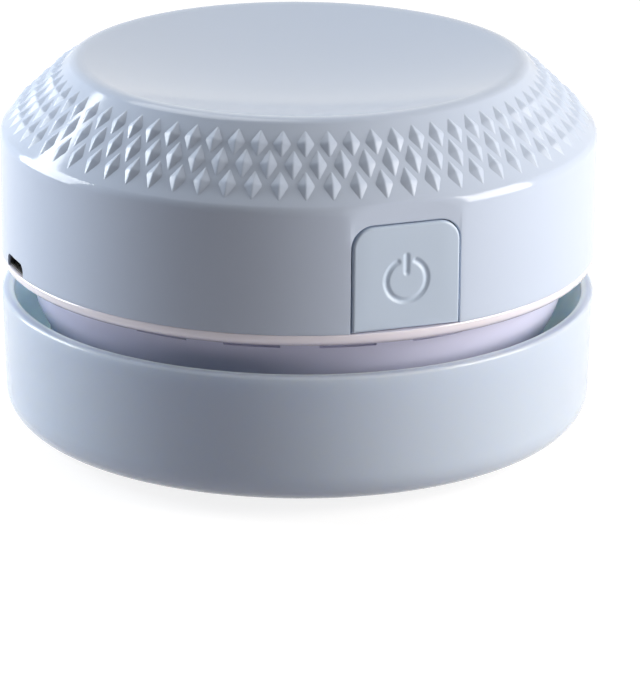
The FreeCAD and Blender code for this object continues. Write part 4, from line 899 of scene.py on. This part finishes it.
LIGHT_TARGET = Vector((0, 0, 0.03))
TABLE_HALF = 6.0
TABLE_DROP = 30 * MICRON
CAMERA_PLACE = Vector((-0.00598, -0.65857, 0.2331))
CAMERA_TARGET = Vector((0.0033, 0.0, 0.0128))
CAMERA_ROLL = 0.0082
CAMERA_LENS = 253.4
SENSOR_WIDTH = 36.0


def seen_directly(tree):
    """One for rays from the eye, also by way of gloss or glass, and zero for light that scatters."""
    rays = tree.nodes.new("ShaderNodeLightPath")
    total = rays.outputs["Is Camera Ray"]
    for name in ("Is Glossy Ray", "Is Transmission Ray"):
        total = larger(tree, total, rays.outputs[name])
    return total


def lit_and_seen(tree, lit, seen, output):
    """Sends one shader to light that scatters, and another to the eye."""
    choice = tree.nodes.new("ShaderNodeMixShader")
    tree.links.new(seen_directly(tree), choice.inputs["Fac"])
    tree.links.new(lit, choice.inputs[1])
    tree.links.new(seen, choice.inputs[2])
    tree.links.new(choice.outputs["Shader"], tree.nodes[output].inputs["Surface"])


def studio_world():
    """White to the eye, dim and slightly cool as a source of light."""
    world = bpy.data.worlds.new("studio")
    bpy.context.scene.world = world
    world.use_nodes = True
    tree = world.node_tree
    dim = tree.nodes["Background"]
    dim.inputs["Color"].default_value = (0.004, 0.004, 0.005, 1)
    dim.inputs["Strength"].default_value = 1.0
    white = tree.nodes.new("ShaderNodeBackground")
    white.inputs["Color"].default_value = (1, 1, 1, 1)
    white.inputs["Strength"].default_value = 1.0
    lit_and_seen(tree, dim.outputs["Background"], white.outputs["Background"], "World Output")


def chalky(tree, colour):
    """Matt shader of one colour."""
    node = tree.nodes.new("ShaderNodeBsdfDiffuse")
    node.inputs["Color"].default_value = (*colour, 1)
    return node.outputs["BSDF"]


def table_finish():
    """Pale table that keeps the cleaner's shadow."""
    finish = bpy.data.materials.new("pale_table")
    finish.use_nodes = True
    tree = finish.node_tree
    tree.nodes.remove(tree.nodes["Principled BSDF"])
    glow = tree.nodes.new("ShaderNodeEmission")
    glow.inputs["Color"].default_value = (0.84, 0.84, 0.84, 1)
    glow.inputs["Strength"].default_value = 1.0
    shaded = tree.nodes.new("ShaderNodeAddShader")
    tree.links.new(chalky(tree, (0.3, 0.3, 0.3)), shaded.inputs[0])
    tree.links.new(glow.outputs["Emission"], shaded.inputs[1])
    lit_and_seen(tree, chalky(tree, (0.48, 0.455, 0.475)), shaded.outputs["Shader"], "Material Output")
    return finish


def table_top():
    """Wide table, a hair below the feet."""
    bm = bmesh.new()
    bmesh.ops.create_grid(bm, x_segments=1, y_segments=1, size=TABLE_HALF)
    bmesh.ops.translate(bm, vec=(0, 0, -TABLE_DROP), verts=bm.verts)
    mesh = as_mesh(bm, "table_top")
    mesh.materials.append(table_finish())
    in_scene("table_top", mesh)


def look_at(thing, target):
    """Turns a lamp or camera to face a point."""
    thing.rotation_mode = "QUATERNION"
    thing.rotation_quaternion = (target - thing.location).to_track_quat("-Z", "Y")


def softbox(name, bearing, height, distance, side, power, colour=(1, 1, 1)):
    """Square lamp aimed at the cleaner; its bearing is 0 at the camera's side and 90 at +X."""
    lamp = bpy.data.lights.new(name, "AREA")
    lamp.shape = "SQUARE"
    lamp.size = side
    lamp.energy = power
    lamp.color = colour
    holder = in_scene(name, lamp)
    angle = math.radians(bearing)
    holder.location = (distance * math.sin(angle), -distance * math.cos(angle), height)
    look_at(holder, LIGHT_TARGET)


def studio_lamps():
    """A broad lamp on each side, cool at the left and warm at the right, and a weak one above."""
    softbox("left_softbox", bearing=-109, height=0.18, distance=0.5, side=0.34, power=3.4,
            colour=(0.94, 0.975, 1.0))
    softbox("right_softbox", bearing=76, height=0.18, distance=0.5, side=0.34, power=3.65,
            colour=(1.0, 0.95, 0.89))
    softbox("top_softbox", bearing=-140, height=0.5, distance=0.25, side=0.3, power=0.8)


def studio_camera():
    """Long lens in front of the cleaner, looking down on it."""
    data = bpy.data.cameras.new("camera")
    data.lens = CAMERA_LENS
    data.sensor_width = SENSOR_WIDTH
    data.clip_start = 0.01
    camera = in_scene("camera", data)
    camera.location = CAMERA_PLACE
    look_at(camera, CAMERA_TARGET)
    camera.rotation_quaternion = camera.rotation_quaternion @ Quaternion((0, 0, 1), CAMERA_ROLL)
    bpy.context.scene.camera = camera


def build():
    """Makes the pieces and their finishes, then the studio round them."""
    made = finishes()
    upper_casing(made["casing_top"])
    cone_studs(made["casing_studs"])
    port_liner(made["black_plastic"])
    power_key(made["casing_button"])
    lower_casing(made["casing"])
    outlet_screen(made["screen_cloth"])
    bristles(made["bristle"])
    dress_solids(made)
    studio_world()
    table_top()
    studio_lamps()
    studio_camera()
    bpy.context.scene.view_settings.view_transform = "Standard"


build()
